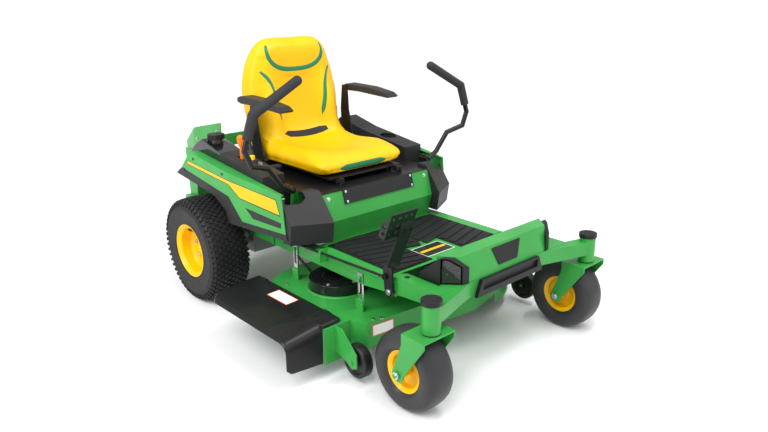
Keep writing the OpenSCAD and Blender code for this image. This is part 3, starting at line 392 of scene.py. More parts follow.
# %% Bolsters, dish and crease
BOLSTER = ((660, 20), (700, 36), (791, 44), (839, 40), (911, 20), (964, 9), (1020, 0))
BACK_FOOT, BACK_FRONT = 660, 20
CUSHION_TOP, FRONT_ROLL = 720, -380
heights, reach = zip(*BOLSTER)
skin.normal_update()
normals = np.array([v.normal for v in skin.verts])
for i, (x, y, z) in enumerate(points):
    wide, facing, up = abs(x), max(0, -normals[i][1]), max(0, normals[i][2])
    if z > BACK_FOOT and y < BACK_FRONT:
        push = np.interp(z, heights, reach) * bell(wide, 152, 42, 62)
        push -= 7 * bell(wide, 0, 80, 80) * (z < 930)
        points[i][1] -= push * min(1, facing * 1.6)
    if z < CUSHION_TOP:
        fade = np.interp(y, (-470, FRONT_ROLL, -160, -90), (0, 1, 1, 0.3))
        points[i][2] += (15 * bell(wide, 178, 50, 45) - 8 * bell(wide, 0, 90, 90)) * up * fade
        # The foot of the cushion is pulled in, so its sides and its front roll bulge above it
        tuck = np.interp(z, (585, 602, 630, 700), (12, 2, 0, 0))
        points[i][0] -= math.copysign(tuck, x) * min(1, wide / 120)
        points[i][1] += tuck * (y < FRONT_ROLL)
points[:, 2] = np.clip(points[:, 2], seat_low[2] + 0.2, seat_high[2] - 1)
for vert, place in zip(skin.verts, points):
    vert.co = at(*place)
relax(skin, 6)
skin.to_mesh(seat.data)
skin.free()
seat.data.shade_smooth()
print("Shaped between", points.min(axis=0).round(), points.max(axis=0).round())

# %% [markdown]
# The simulation holds what is screwed down: the underside and the rear face. The rest may swell by a few
# millimetres. Its result replaces the points, so no Cloth stays on the piece.

# %% Air pressure
AIR_FRAMES = 15
CAP = 0.006
before = np.array([v.co[:] for v in seat.data.vertices])
held = seat.vertex_groups.new(name="held")
for i, place in enumerate(before):
    _, y, z = from_row(place)
    if z < seat_low[2] + 16 or y > 30:
        held.add([i], 1.0, "REPLACE")
cloth = seat.modifiers.new("air", "CLOTH")
cloth.settings.quality = 4
cloth.settings.mass = 0.3
cloth.settings.tension_stiffness = 30
cloth.settings.compression_stiffness = 30
cloth.settings.use_pressure = True
cloth.settings.uniform_pressure_force = 4
cloth.settings.vertex_group_mass = "held"
cloth.settings.effector_weights.gravity = 0
for step in range(AIR_FRAMES):
    scene.frame_set(step + 1)
swollen = seat.evaluated_get(bpy.context.evaluated_depsgraph_get()).to_mesh()
after = np.array([v.co[:] for v in swollen.vertices])
seat.modifiers.remove(cloth)
seat.vertex_groups.remove(held)
scene.frame_set(1)
move = after - before
swell = np.linalg.norm(move, axis=1, keepdims=True)
settled = before + move * np.minimum(1, CAP / np.maximum(swell, 1e-9))
half = (seat_high[0] - seat_low[0]) / 2000 - 0.0005
settled[:, 0] = np.clip(settled[:, 0], axle.x - half, axle.x + half)
settled[:, 2] = np.clip(settled[:, 2], seat_low[2] / 1000, seat_high[2] / 1000)
seat.data.vertices.foreach_set("co", settled.ravel())
seat.data.update()
rounder = seat.modifiers.new("rounder", "SUBSURF")
rounder.levels = rounder.render_levels = 1
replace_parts(seat, "seat_cushion")
print("Swelled by up to", round(float(swell.max()) * 1000, 1), "mm, held to", CAP * 1000)

# %% [markdown]
# ## Inlays on the seat
# The green strips are sewn or moulded into the skin, and the near-black slit across it is painted shade. Each
# is a narrow grid laid on a path seen from the front and pressed back on the seat by ray casts, so it follows
# every curve and is crowned in the middle.

# %% Strips pressed on the skin
seat_skin = BVHTree.FromObject(seat, bpy.context.evaluated_depsgraph_get())


def smooth_path(path, count):
    """Rounds a path by cutting its corners three times, and spaces count points evenly along it."""
    path = np.array(path, float)
    for _ in range(3):
        quarter = path[:-1] * 0.75 + path[1:] * 0.25
        three = path[:-1] * 0.25 + path[1:] * 0.75
        path = np.vstack([path[:1], np.stack([quarter, three], 1).reshape(-1, 2), path[-1:]])
    along = np.concatenate([[0], np.cumsum(np.linalg.norm(np.diff(path, axis=0), axis=1))])
    spots = np.linspace(0, along[-1], count)
    return np.stack([np.interp(spots, along, path[:, k]) for k in (0, 1)], 1)


def seat_strip(name, path, width, ends, material, crown=1.4, count=70):
    centre = smooth_path(path, count)
    heading = np.gradient(centre, axis=0)
    heading /= np.linalg.norm(heading, axis=1, keepdims=True)
    mesh = bmesh.new()
    bmesh.ops.create_grid(mesh, x_segments=count - 1, y_segments=6, size=1)
    for vert in mesh.verts:
        i = round((vert.co.x + 1) / 2 * (count - 1))
        across = vert.co.y
        t = i / (count - 1)
        w = width * np.interp(t, (0, 0.12, 0.88, 1), (ends[0], 1, 1, ends[1])) / 2
        x = centre[i][0] - heading[i][1] * across * w
        z = centre[i][1] + heading[i][0] * across * w
        start = at(x, -900, z)
        hit, normal, _, _ = seat_skin.ray_cast(start, Vector((0, 1, 0)))
        rise = crown * (1 - across ** 4) - 0.3
        vert.co = hit + normal * rise / 1000
    bmesh.ops.recalc_face_normals(mesh, faces=mesh.faces)
    if sum((f.normal.y for f in mesh.faces)) > 0:
        bmesh.ops.reverse_faces(mesh, faces=mesh.faces)
    strip = add_piece(name, mesh, "seat", material, crease=180)
    thick = strip.modifiers.new("backing", "SOLIDIFY")
    thick.thickness = 0.002
    thick.offset = -1


HEAD_PATH = [(140, 1070), (146, 1045), (140, 1015), (118, 990), (85, 972), (45, 965)]
SIDE_PATH = [(183, 964), (160, 940), (145, 911), (137, 880), (131, 839), (121, 791), (110, 750)]
FRONT_PATH = [(-122, 611), (0, 611), (122, 611)]
SLIT_PATH = [(-118, 694), (-60, 685), (0, 681), (60, 684), (116, 693)]
whole_head = [(-x, z) for x, z in HEAD_PATH] + [(0, 964)] + HEAD_PATH[::-1]
seat_strip("seat_head_strip", whole_head, 22, (0.5, 0.5), strip_vinyl, count=110)
for name, sign in SIDES:
    seat_strip(f"seat_side_strip_{name}", [(sign * x, z) for x, z in SIDE_PATH], 17, (0.6, 0.15), strip_vinyl)
seat_strip("seat_front_strip", FRONT_PATH, 30, (0.25, 0.25), strip_vinyl, count=60)
# The slit is painted shade: a near-black strip on the skin that tapers unevenly, as the shade inside the slit
# does
seat_strip("seat_slit_painted_shade", SLIT_PATH, 27, (0.06, 0.7), slit_painted_shade, crown=0.8)
print("Strips pressed on the seat")

# %% Seam lip round the cushion's foot
def tube_piece(name, path, radius, body, material, closed=False, sides=4):
    curve = bpy.data.curves.new(name, "CURVE")
    curve.dimensions = "3D"
    spline = curve.splines.new("POLY")
    spline.points.add(len(path) - 1)
    for point, place in zip(spline.points, path):
        point.co = (*place, 1)
    spline.use_cyclic_u = closed
    curve.bevel_depth = radius
    curve.bevel_resolution = sides
    curve.use_fill_caps = True
    carrier = bpy.data.objects.new(name, curve)
    mesh = bmesh.new()
    solid = bpy.data.meshes.new_from_object(carrier)
    mesh.from_mesh(solid)
    bpy.data.objects.remove(carrier)
    bpy.data.meshes.remove(solid)
    bmesh.ops.remove_doubles(mesh, verts=mesh.verts, dist=1e-6)
    bmesh.ops.recalc_face_normals(mesh, faces=mesh.faces)
    return add_piece(name, mesh, body, material, crease=50)


SEAM_END = -120
middle = at(0, -330, 594)
seam = []
for step in range(120):
    angle = math.radians(step * 3)
    outward = Vector((math.cos(angle), math.sin(angle), 0))
    hit = seat_skin.ray_cast(middle + outward * 0.6, -outward)[0]
    if hit is not None and from_row(hit)[1] < SEAM_END:
        seam.append(hit + outward * 0.0006)
# Sorted by the angle from the front, so the open ends of the seam lie at the back
seam.sort(key=lambda p: math.atan2(p.x - middle.x, middle.y - p.y))
tube_piece("seat_seam", seam, 0.0016, "seat", vinyl)
print("Seam with", len(seam), "points")

# %% [markdown]
# ## Wheels
# Tires and rims are turned bodies, so each is a profile spun about its axle in fine steps. The turf tread
# is one pitch of lugs, spun as copies round the casing: staggered blocks in nine rows, and cleats that
# run over the shoulder. Drawing one pitch and repeating it is how the mould is cut too.

# %% Turned bodies
def turned(mesh, centre, profile, steps=96):
    """Spins a closed profile of (radius, x) pairs about a wheel's axle."""
    verts = [mesh.verts.new(centre + Vector((x / 1000, 0, r / 1000))) for r, x in profile]
    edges = [mesh.edges.new(pair) for pair in zip(verts, verts[1:] + verts[:1])]
    bmesh.ops.spin(mesh, geom=verts + edges, cent=centre, axis=(1, 0, 0), angle=math.tau, steps=steps,
                   use_merge=True)
    bmesh.ops.remove_doubles(mesh, verts=mesh.verts, dist=1e-6)
    bmesh.ops.recalc_face_normals(mesh, faces=mesh.faces)


def mirror_profile(half):
    return half + [(r, -x) for r, x in reversed(half)]


def node_centre(node):
    low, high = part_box(node)
    return (low + high) / 2


CASING = mirror_profile([
    (102.5, 68), (110, 74), (118, 80), (124, 83), (126, 84.5), (128.5, 84.8), (131, 84), (146, 86.6),
    (158, 87.4), (176, 87.6), (180, 88.6), (184, 88.4), (187, 86.6), (198, 84), (208, 79.5), (215, 72),
    (219.5, 60), (221.5, 40), (222.3, 15)])
PITCHES = 54
# Each row's distance from the middle, its radius, and 1 where it is set half a pitch on
LUG_ROWS = ((0, 228.4, 0), (17, 228.3, 1), (34, 227.8, 0), (50, 226.4, 1), (65, 224.0, 0))
LUG_TWIST = 0.32


def add_lug(mesh, centre, x, radius, turn, size, twist=0.0, lean=0.0):
    lug = bmesh.ops.create_cube(mesh, size=1)["verts"]
    width, length, height = size
    bmesh.ops.scale(mesh, vec=(width / 1000, length / 1000, height / 1000), verts=lug)
    top = [v for v in lug if v.co.z > 0]
    bmesh.ops.scale(mesh, vec=(0.82, 0.84, 1), verts=top)
    bmesh.ops.rotate(mesh, verts=lug, matrix=Matrix.Rotation(twist, 3, "Z") @ Matrix.Rotation(lean, 3, "Y"))
    bmesh.ops.translate(mesh, verts=lug, vec=(x / 1000, 0, (radius - height / 2) / 1000))
    bmesh.ops.rotate(mesh, verts=lug, matrix=Matrix.Rotation(turn, 3, "X"))
    bmesh.ops.translate(mesh, verts=lug, vec=centre)


for name, side in SIDES:
    node = f"rear_tire_{name}"
    centre = node_centre(node)
    tire = bmesh.new()
    turned(tire, centre, CASING, 108)
    piece = add_piece(f"{node}_casing", tire, body_of[node], tire_rubber, crease=40)
    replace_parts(piece, node)
    pitch = math.tau / PITCHES
    lugs = bmesh.new()
    for x, radius, odd in LUG_ROWS:
        for sign in ((1, -1) if x else (1,)):
            twist = sign * LUG_TWIST * (1 if odd else -1)
            add_lug(lugs, centre, sign * x, radius, odd * pitch / 2, (14.5, 17.5, 9), twist=twist)
    for sign in (1, -1):
        add_lug(lugs, centre, sign * 76.5, 219.0, pitch / 2, (13, 12, 12), lean=sign * 0.75)
        add_lug(lugs, centre, sign * 81.0, 208.5, pitch / 2, (9, 11, 14), lean=sign * 1.2)
    bmesh.ops.spin(lugs, geom=lugs.verts[:] + lugs.edges[:] + lugs.faces[:], cent=centre, axis=(1, 0, 0),
                   angle=math.tau * (PITCHES - 1) / PITCHES, steps=PITCHES - 1, use_duplicate=True)
    bmesh.ops.recalc_face_normals(lugs, faces=lugs.faces)
    add_piece(f"{node}_lugs", lugs, body_of[node], tire_rubber, crease=25)
    valve = bmesh.new()
    stem = bmesh.ops.create_cone(valve, cap_ends=True, segments=20, radius1=0.006, radius2=0.0038,
                                 depth=0.03)["verts"]
    bmesh.ops.rotate(valve, verts=stem, matrix=Matrix.Rotation(side * math.radians(62), 3, "Y"))
    bmesh.ops.translate(valve, verts=stem, vec=centre + Vector((side * 0.037, 0.058, 0.068)))
    add_piece(f"valve_stem_{name}", valve, body_of[node], black_plastic)
print("Lugs on each rear tire:", PITCHES * (2 * len(LUG_ROWS) - 1 + 4))

# %% Rear rims: rolled flange, dished centre, hub hole
REAR_RIM = [
    (117, 82), (115.6, 82.6), (114, 82), (112.6, 80), (104, 72.5), (99.5, 70), (98, 64), (97.8, 32),
    (96.5, 27), (93, 24), (86, 19.5), (81, 17.4), (76, 16.8), (60, 17), (46, 19.5), (40, 20), (35, 17),
    (24, 17), (24, 13), (80, 13), (88, 15.5), (97, 20), (97.6, -69), (113.5, -81.6), (117, -82), (117, -80),
    (101.4, -69.5), (101.4, 69.5), (117, 80)]
for name, side in SIDES:
    node = f"rear_rim_{name}"
    rim = bmesh.new()
    turned(rim, node_centre(node), [(r, side * x) for r, x in REAR_RIM])
    piece = add_piece(f"{node}_turned", rim, body_of[node], yellow_paint, crease=50)
    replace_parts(piece, node)

# %% Caster wheels: smooth ribless tires on deep rims
CASTER_CASING = mirror_profile([
    (63.9, 36), (70, 42), (75, 45.6), (79, 49.5), (84, 54), (92, 57), (103, 58.6), (112, 58.4), (121, 56.4),
    (123, 56.0), (124.2, 55), (126, 53.8), (132, 49), (136.5, 41.5), (139.6, 31), (141.3, 19), (141.9, 8)])
CASTER_RIM = mirror_profile([
    (16, 58.8), (16.2, 40), (18, 14), (24, 9), (34, 8), (42, 11), (50, 14), (56, 16), (59, 21), (59.6, 38),
    (66, 43.5), (72.6, 46.9), (74, 46.2), (73.6, 44.6), (67, 41.2), (63.4, 36)])
CASTER_PARTS = (("tire", CASTER_CASING, caster_rubber), ("rim", CASTER_RIM, yellow_paint))
for name, side in SIDES:
    for part, profile, material in CASTER_PARTS:
        node = f"caster_{part}_{name}"
        wheel = bmesh.new()
        centre = node_centre(node)
        turned(wheel, centre, profile, 112)
        if part == "rim":
            turned(wheel, centre, [(8.2, 63), (16.6, 63), (16.6, -63), (8.2, -63)], 48)
        piece = add_piece(f"{node}_turned", wheel, body_of[node], material, crease=42)
        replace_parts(piece, node)
print("Rims and caster wheels turned")

# %% [markdown]
# ## Headlamps
# Each lamp pod is a moulded frame round a dark reflector well, closed by a smoked lens. The well is cut
# in the frame's slanted face by an inset that also pushes the face in, before the edges are softened.

# %% Lamp wells
LAMP_WAY = Vector((0.734, -0.679, 0))
LAMP_CENTRE, LAMP_SLOPE = (265, -1259, 416), (0.68, 0.734, 0.25)
STEP_TOP, STEP_HALF = 0.383, 0.184
wells = []


def lamp_way(side):
    return Vector((side * LAMP_WAY.x, LAMP_WAY.y, 0))


def cut_lamp_wells(mesh):
    for _, side in SIDES:
        way = lamp_way(side)
        faces = [f for f in mesh.faces if f.normal.dot(way) > 0.99 and f.calc_area() > 1e-3]
        bmesh.ops.inset_region(mesh, faces=faces, thickness=0.006, depth=-0.016, use_even_offset=True)
        # The top corners of the step lean in
        for vert in mesh.verts:
            wide = side * (vert.co.x - axle.x)
            if vert.co.z > STEP_TOP - 0.001 and STEP_HALF - 0.001 < wide < STEP_HALF + 0.001:
                vert.co.x -= side * 0.026
        wells.append([[v.co.copy() + way * 0.0135 for v in f.verts] for f in faces])


soften("nose_trim", black_plastic, 2.0, cut_lamp_wells)
for (name, side), outlines in zip(SIDES, wells):
    way = lamp_way(side)
    window = bmesh.new()
    for outline in outlines:
        pane = bmesh.ops.contextual_create(window, geom=[window.verts.new(p) for p in outline])["faces"]
        pushed = bmesh.ops.extrude_face_region(window, geom=pane, use_keep_orig=True)["geom"]
        front = [v for v in pushed if isinstance(v, bmesh.types.BMVert)]
        bmesh.ops.translate(window, verts=front, vec=way * 0.0015)
    bmesh.ops.recalc_face_normals(window, faces=window.faces)
    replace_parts(add_piece(f"lamp_window_{name}", window, "chassis", lens), "lamp_lenses")
    well = bmesh.new()
    glow = bmesh.new()
    for shift, size in ((-16, 0.014), (13, 0.011)):
        x, y, z = (c + shift * slope for c, slope in zip(LAMP_CENTRE, LAMP_SLOPE))
        centre = at(side * x, y, z)
        cones = ((well, 4, size * 1.25, size * 0.4, 0.012, 0.0095),
                 (glow, 24, size * 0.45, size * 0.3, 0.004, 0.0045))
        for mesh, segments, radius, tip, depth, sink in cones:
            cone = bmesh.ops.create_cone(mesh, cap_ends=True, segments=segments, radius1=radius,
                                         radius2=tip, depth=depth)["verts"]
            bmesh.ops.rotate(mesh, verts=cone, matrix=way.to_track_quat("Z", "Y").to_matrix())
            bmesh.ops.translate(mesh, verts=cone, vec=centre - way * sink)
    add_piece(f"lamp_well_{name}", well, "chassis", gloss_black)
    add_piece(f"lamp_reflector_{name}", glow, "chassis", reflector)
print("Lamp wells cut and reflectors set")

# %% [markdown]
# ## Fender stripes
# The side panels carry a long yellow stripe that widens to the front, with a thin black outline, and a
# black plate below it. They are printed film, so each is a flat outline on the panel, a third of a
# millimetre thick. The plates stay blank.

# %% Film on the side panels
SIDE_X, KINK_Y, SIDE_TURN = 476, -230, math.atan2(41, 370)


def on_fender(side, y, z, rise):
    """A place on the side panel, which turns inwards in front of the kink."""
    if y >= KINK_Y:
        return at(side * (SIDE_X + rise), y, z)
    back = y - KINK_Y
    x = SIDE_X + back * math.sin(SIDE_TURN) + rise * math.cos(SIDE_TURN)
    return at(side * x, KINK_Y + back * math.cos(SIDE_TURN) - rise * math.sin(SIDE_TURN), z)


def film(name, places, thickness, body, material):
    """places(rise) gives the outline at a height above the surface, in millimetres."""
    mesh = bmesh.new()
    under, over = ([mesh.verts.new(p) for p in places(rise)] for rise in (-0.2, thickness))
    bmesh.ops.contextual_create(mesh, geom=over)
    bmesh.ops.contextual_create(mesh, geom=under)
    for i in range(len(under)):
        bmesh.ops.contextual_create(mesh, geom=[under[i - 1], under[i], over[i], over[i - 1]])
    bmesh.ops.recalc_face_normals(mesh, faces=mesh.faces)
    return add_piece(name, mesh, body, material)


STRIPES = {
    "stripe_rear": (yellow_decal, 0.5, [(110, 593), (-230, 570), (-230, 557), (118, 581)]),
    "stripe_front": (yellow_decal, 0.5, [(-230, 570), (-517, 546.5), (-536, 491), (-294, 513), (-230, 557)]),
    "outline_rear": (black_decal, 0.3, [(113, 595.5), (-230, 572.5), (-230, 553.5), (122, 578)]),
    "outline_front": (black_decal, 0.3, [(-230, 572.5), (-520, 549), (-541, 486), (-292, 509),
                                         (-230, 553.5)]),
    "plate": (black_decal, 0.4, [(-326, 478), (-543, 460), (-539, 438), (-372, 441)]),
}
for name, side in SIDES:
    for part, (material, thickness, outline) in STRIPES.items():
        film(f"fender_{part}_{name}", lambda rise: [on_fender(side, y, z, rise) for y, z in outline],
             thickness, "chassis", material)

# %% Blank stickers
def sticker(name, corner, along, across, size, body, colour=pale_decal, border=orange_decal, edge=3.0):
    along, across = Vector(along).normalized(), Vector(across).normalized()
    out = along.cross(across)

    def outline(inset):
        far_u, far_v = size[0] - inset, size[1] - inset
        spots = ((inset, inset), (far_u, inset), (far_u, far_v), (inset, far_v))
        return lambda rise: [at(*(Vector(corner) + along * u + across * v + out * rise)) for u, v in spots]

    film(f"{name}_border", outline(0), 0.3, body, border)
    film(f"{name}_panel", outline(edge), 0.45, body, colour)


sticker("deck_label", (-388, -1001.1, 138), (510, -60, 0), (0, 0, 1), (92, 44), "deck")
sticker("floor_label", (-82, -972, 349.2), (1, 0, 0), (0, 1, 0), (150, 96), "chassis",
        border=pale_decal, colour=black_decal)
sticker("floor_label_bar", (-72, -932, 349.7), (1, 0, 0), (0, 1, 0), (130, 16), "chassis",
        border=yellow_decal, colour=yellow_decal)
sticker("panel_label", (-168, -622.2, 462), (1, 0, 0), (0, 31, 109), (34, 12), "chassis",
        border=pale_decal, colour=pale_decal)
print("Film and blank stickers on")

# %% [markdown]
# ## Discharge chute
# The chute is one rubbery moulding: a flat top that hangs from the hinge, a big rolled corner into the
# front wall, a lip round the outlet and a stiffening ridge. One grid is bent over that section and then
# given its wall thickness.

# %% Chute
CHUTE_X = (-470, -490, -515, -535, -548, -552, -566, -585, -605, -625, -645, -662, -676, -686, -693, -698,
           -701)
CHUTE_FRONT, CHUTE_REAR = -924, -402
# The rear outer corner is an arc round this centre
CORNER_X, CORNER_Y, CORNER_R = -640, -458, 56
STRAIGHT, ARC, DOWN = 34, 9, 8


def chute_place(x, step):
    """A point of the chute's section at x: the flat top from the rear, the rolled corner, the front wall."""
    top = np.interp(x, (-702, -700, -696, -690, -560, -470), (181, 187, 191, 193.5, 208.5, 211.5))
    outer = x < -550
    radius = 40 if outer else 11
    foot = np.interp(x, (-702, -684, -552), (92, 75, 63)) if outer else top - 12
    if step <= STRAIGHT:
        y = CHUTE_REAR + (CHUTE_FRONT + radius - CHUTE_REAR) * step / STRAIGHT
        ridge = np.interp(x, (-700, -640, -560, -480), (-795, -815, -850, -868))
        rise = 7 * bell(y, ridge, 8, 20) * np.interp(x, (-690, -640, -520, -485), (0, 1, 1, 0.3))
        rise += 5 * math.exp(-((x + 610) / 42) ** 2 - ((y + 640) / 55) ** 2)
        past = math.hypot(max(0, CORNER_X - x), max(0, y - CORNER_Y))
        if x < CORNER_X and y > CORNER_Y and past > CORNER_R:
            x = CORNER_X + (x - CORNER_X) * CORNER_R / past
            y = CORNER_Y + (y - CORNER_Y) * CORNER_R / past
        return x, y, top + rise
    if step <= STRAIGHT + ARC:
        angle = math.pi / 2 * (step - STRAIGHT) / ARC
        return x, CHUTE_FRONT + radius - radius * math.sin(angle), top - radius + radius * math.cos(angle)
    t = (step - STRAIGHT - ARC) / DOWN
    return x, CHUTE_FRONT, (top - radius) * (1 - t) + min(foot, top - radius - 0.5) * t


chute = bmesh.new()
rows = STRAIGHT + ARC + DOWN
bmesh.ops.create_grid(chute, x_segments=len(CHUTE_X) - 1, y_segments=rows, size=1)
for vert in chute.verts:
    column = round((vert.co.x + 1) / 2 * (len(CHUTE_X) - 1))
    step = round((vert.co.y + 1) / 2 * rows)
    vert.co = at(*chute_place(CHUTE_X[column], step))
bmesh.ops.recalc_face_normals(chute, faces=chute.faces)
if sum(f.normal.z for f in chute.faces) < 0:
    bmesh.ops.reverse_faces(chute, faces=chute.faces)
chute_piece = add_piece("discharge_chute_moulding", chute, "chute", chute_plastic, crease=60)
wall = chute_piece.modifiers.new("wall", "SOLIDIFY")
wall.thickness = 0.0035
wall.offset = -1
lip = chute_piece.modifiers.new("lip", "BEVEL")
lip.width, lip.segments, lip.limit_method, lip.angle_limit = 0.001, 2, "ANGLE", math.radians(60)
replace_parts(chute_piece, "discharge_chute")
HINGE_X, HINGE_Z, KNUCKLE_R, KNUCKLE_LENGTH = -472, 207, 0.008, 0.028
knuckles = bmesh.new()
for y in (-846.7, -446.7):
    barrel = bmesh.ops.create_cone(knuckles, cap_ends=True, segments=40, radius1=KNUCKLE_R,
                                   radius2=KNUCKLE_R, depth=KNUCKLE_LENGTH)["verts"]
    bmesh.ops.rotate(knuckles, verts=barrel, matrix=Matrix.Rotation(math.radians(90), 3, "X"))
    bmesh.ops.translate(knuckles, verts=barrel, vec=at(HINGE_X, y, HINGE_Z))
add_piece("chute_knuckles", knuckles, "chute", chute_plastic)
sticker("chute_label", (-546, -575, 209.5), (0, -1, 0), (60, 0, 2.0), (126, 56), "chute")
print("Chute moulded")

# %% [markdown]
# ## Foot mats
# The mats are soft rubber with raised chevron bars that sweep forward to the middle. The bars are one
# bevelled bar, copied and cut off at the mat's ends. Three flat pads lie below them and leave the floor's
# middle plate bare.

# %% Mat bars
MAT_FLOOR, MAT_TOP, MAT_REAR, MAT_FRONT, MAT_SIDE = 349, 353.2, -620, -1000, 285
PLATE_REAR, PLATE_SIDE = -831, 88
BAR_ROWS, FRONT_ROWS, BAR_PITCH, BAR_Z = 9, 4, 46, 354.9
BAR_WIDTH, BAR_DEPTH = 0.030, 0.0045
bars = bmesh.new()
for _, side in SIDES:
    for row in range(BAR_ROWS):
        y = MAT_FRONT - 10 + row * BAR_PITCH
        # The front bars end beside the bare plate
        reach, sweep = (98, 53) if row < FRONT_ROWS else (12, 74)
        outer, inner = (276, y + 44), (reach, y + 44 - sweep)
        length = math.hypot(outer[0] - inner[0], outer[1] - inner[1])
        slope = math.atan2(outer[1] - inner[1], outer[0] - inner[0])
        bar = bmesh.ops.create_cube(bars, size=1)["verts"]
        bmesh.ops.scale(bars, vec=(length / 1000, BAR_WIDTH, BAR_DEPTH), verts=bar)
        bmesh.ops.rotate(bars, verts=bar, matrix=Matrix.Rotation(side * slope, 3, "Z"))
        middle = at(side * (outer[0] + inner[0]) / 2, (outer[1] + inner[1]) / 2, BAR_Z)
        bmesh.ops.translate(bars, verts=bar, vec=middle)
for y, way in ((MAT_REAR - 4, 1), (MAT_FRONT + 4, -1)):
    cut = bmesh.ops.bisect_plane(bars, geom=bars.verts[:] + bars.edges[:] + bars.faces[:],
                                 plane_co=(0, at(0, y, 0).y, 0), plane_no=(0, way, 0),
                                 clear_outer=True)["geom_cut"]
    bmesh.ops.holes_fill(bars, edges=[e for e in cut if isinstance(e, bmesh.types.BMEdge)], sides=0)
bmesh.ops.recalc_face_normals(bars, faces=bars.faces)
bar_piece = add_piece("foot_mat_bars", bars, "chassis", mat_rubber)
round_edges(bar_piece, 0.0018)
pad = bmesh.new()
PAD_PLANS = ((-MAT_SIDE, -PLATE_SIDE, MAT_FRONT), (PLATE_SIDE, MAT_SIDE, MAT_FRONT),
             (-PLATE_SIDE - 0.2, PLATE_SIDE + 0.2, PLATE_REAR))
for low_x, high_x, front_y in PAD_PLANS:
    corner, far = at(low_x, front_y, MAT_FLOOR), at(high_x, MAT_REAR, MAT_TOP)
    cube = bmesh.ops.create_cube(pad, size=1)["verts"]
    bmesh.ops.scale(pad, vec=far - corner, verts=cube)
    bmesh.ops.translate(pad, verts=cube, vec=(far + corner) / 2)
pad_piece = add_piece("foot_mat_pads", pad, "chassis", mat_rubber)
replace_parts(pad_piece, "foot_mats")
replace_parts(bar_piece, "foot_mats")
print("Mat bars laid")

# %% [markdown]
# ## Deck belt
# The belt runs from the engine pulley, which is fixed, to the deck, which rises and falls, so it slopes
# when the deck is up. The loop gets cuts along its length.

# %% Belt cut along its length
BELT_REAR, BELT_FRONT, BELT_Z = 60, -560, 217
belt = merged_copy("deck_belt")
for y in range(BELT_FRONT, BELT_REAR + 1, 31):
    bmesh.ops.bisect_plane(belt, geom=belt.verts[:] + belt.edges[:] + belt.faces[:], plane_co=at(0, y, 0),
                           plane_no=(0, 1, 0))
belt_run = add_piece("deck_belt_run", belt, None, belt_rubber)
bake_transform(belt_run)
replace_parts(belt_run, "deck_belt")

# %% [markdown]
# ## Deck and belt covers
# The deck's top is pressed with a raised band round each spindle, and the covers are ribbed mouldings.
# Bands and ribs are turned or swept shapes set into the sheet.

# %% Bands, ribs and covers
SPINDLES = {"left": (268, -735), "right": (-268, -665)}
BAND = [(134, 194.5), (133, 196.5), (130.5, 198), (126, 198.6), (122.5, 198), (121.4, 196.5), (121, 194.5)]
RIB_SIZE, RIB_RADIUS = (0.004, 0.006, 0.034), 120.2


def spun_ring(mesh, x, y, profile, steps, closed=False):
    """Spins a profile of (radius, z) pairs about an upright axis."""
    verts = [mesh.verts.new(at(x + r, y, z)) for r, z in profile]
    following = verts[1:] + (verts[:1] if closed else [])
    edges = [mesh.edges.new(pair) for pair in zip(verts, following)]
    bmesh.ops.spin(mesh, geom=verts + edges, cent=at(x, y, 0), axis=(0, 0, 1), angle=math.tau, steps=steps,
                   use_merge=True)


for name, (x, y) in SPINDLES.items():
    band = bmesh.new()
    spun_ring(band, x, y, BAND, 96)
    bmesh.ops.remove_doubles(band, verts=band.verts, dist=1e-6)
    bmesh.ops.recalc_face_normals(band, faces=band.faces)
    if sum(f.normal.z for f in band.faces) < 0:
        bmesh.ops.reverse_faces(band, faces=band.faces)
    add_piece(f"deck_band_{name}", band, "deck", green_paint, crease=60)
    ribs = bmesh.new()
    for step in range(-3, 4):
        angle = math.radians(-90 + step * 22)
        rib = bmesh.ops.create_cube(ribs, size=1)["verts"]
        bmesh.ops.scale(ribs, vec=RIB_SIZE, verts=rib)
        bmesh.ops.rotate(ribs, verts=rib, matrix=Matrix.Rotation(angle, 3, "Z"))
        foot = at(x + RIB_RADIUS * math.cos(angle), y + RIB_RADIUS * math.sin(angle), 214)
        bmesh.ops.translate(ribs, verts=rib, vec=foot)
    disc = bmesh.ops.create_cone(ribs, cap_ends=True, segments=64, radius1=0.070, radius2=0.066,
                                 depth=0.003)["verts"]
    bmesh.ops.translate(ribs, verts=disc, vec=at(x, y, 235.5))
    rib_piece = add_piece(f"cover_ribs_{name}", ribs, "deck", gloss_black)
    round_edges(rib_piece, 0.001)
print("Deck bands and cover ribs")

# %% [markdown]
# ## Bolts, plugs and caps
# Screws are where the eye looks for scale. One flanged hex bolt is drawn and set wherever the machine
# is bolted; the caster caps get their pressed rings.

# %% Bolts
def add_bolt(mesh, place, way, radius, height):
    """A round flange and a hexagonal head, in shares of the head's radius and height."""
    turn = Vector(way).normalized().to_track_quat("Z", "Y").to_matrix()
    for segments, r1, r2, low, depth in ((28, 1.5, 1.42, -0.3, 0.55), (6, 1.0, 0.92, 0.2, 0.8)):
        cone = bmesh.ops.create_cone(mesh, cap_ends=True, segments=segments, radius1=radius * r1 / 1000,
                                     radius2=radius * r2 / 1000, depth=depth * height / 1000)["verts"]
        bmesh.ops.translate(mesh, verts=cone, vec=(0, 0, (low + depth / 2) * height / 1000))
        bmesh.ops.rotate(mesh, verts=cone, matrix=turn)
        bmesh.ops.translate(mesh, verts=cone, vec=at(*place))


BOTH = (1, -1)
UP, PANEL_WAY, PLATE_WAY = (0, 0, 1), (0, -0.962, 0.274), (0, -0.954, 0.3)
RAIL_SPOTS = ((-1112, 383), (-700, 346), (-900, 346))
DECK_SPOTS = ((-372, -985), (-345, -1000), (300, -960), (330, -950), (-420, -520), (420, -560), (0, -1020),
              (60, -440))
FENDER_SPOTS = ((60, 610), (-180, 590), (150, 548))
GUARD_SPOTS = ((110, 700), (110, 650), (300, 640))
CAP_SPOTS = [(x + out_x, y + out_y) for x, y in SPINDLES.values()
             for out_x, out_y in ((0, -90), (-90, -45), (90, -45))]
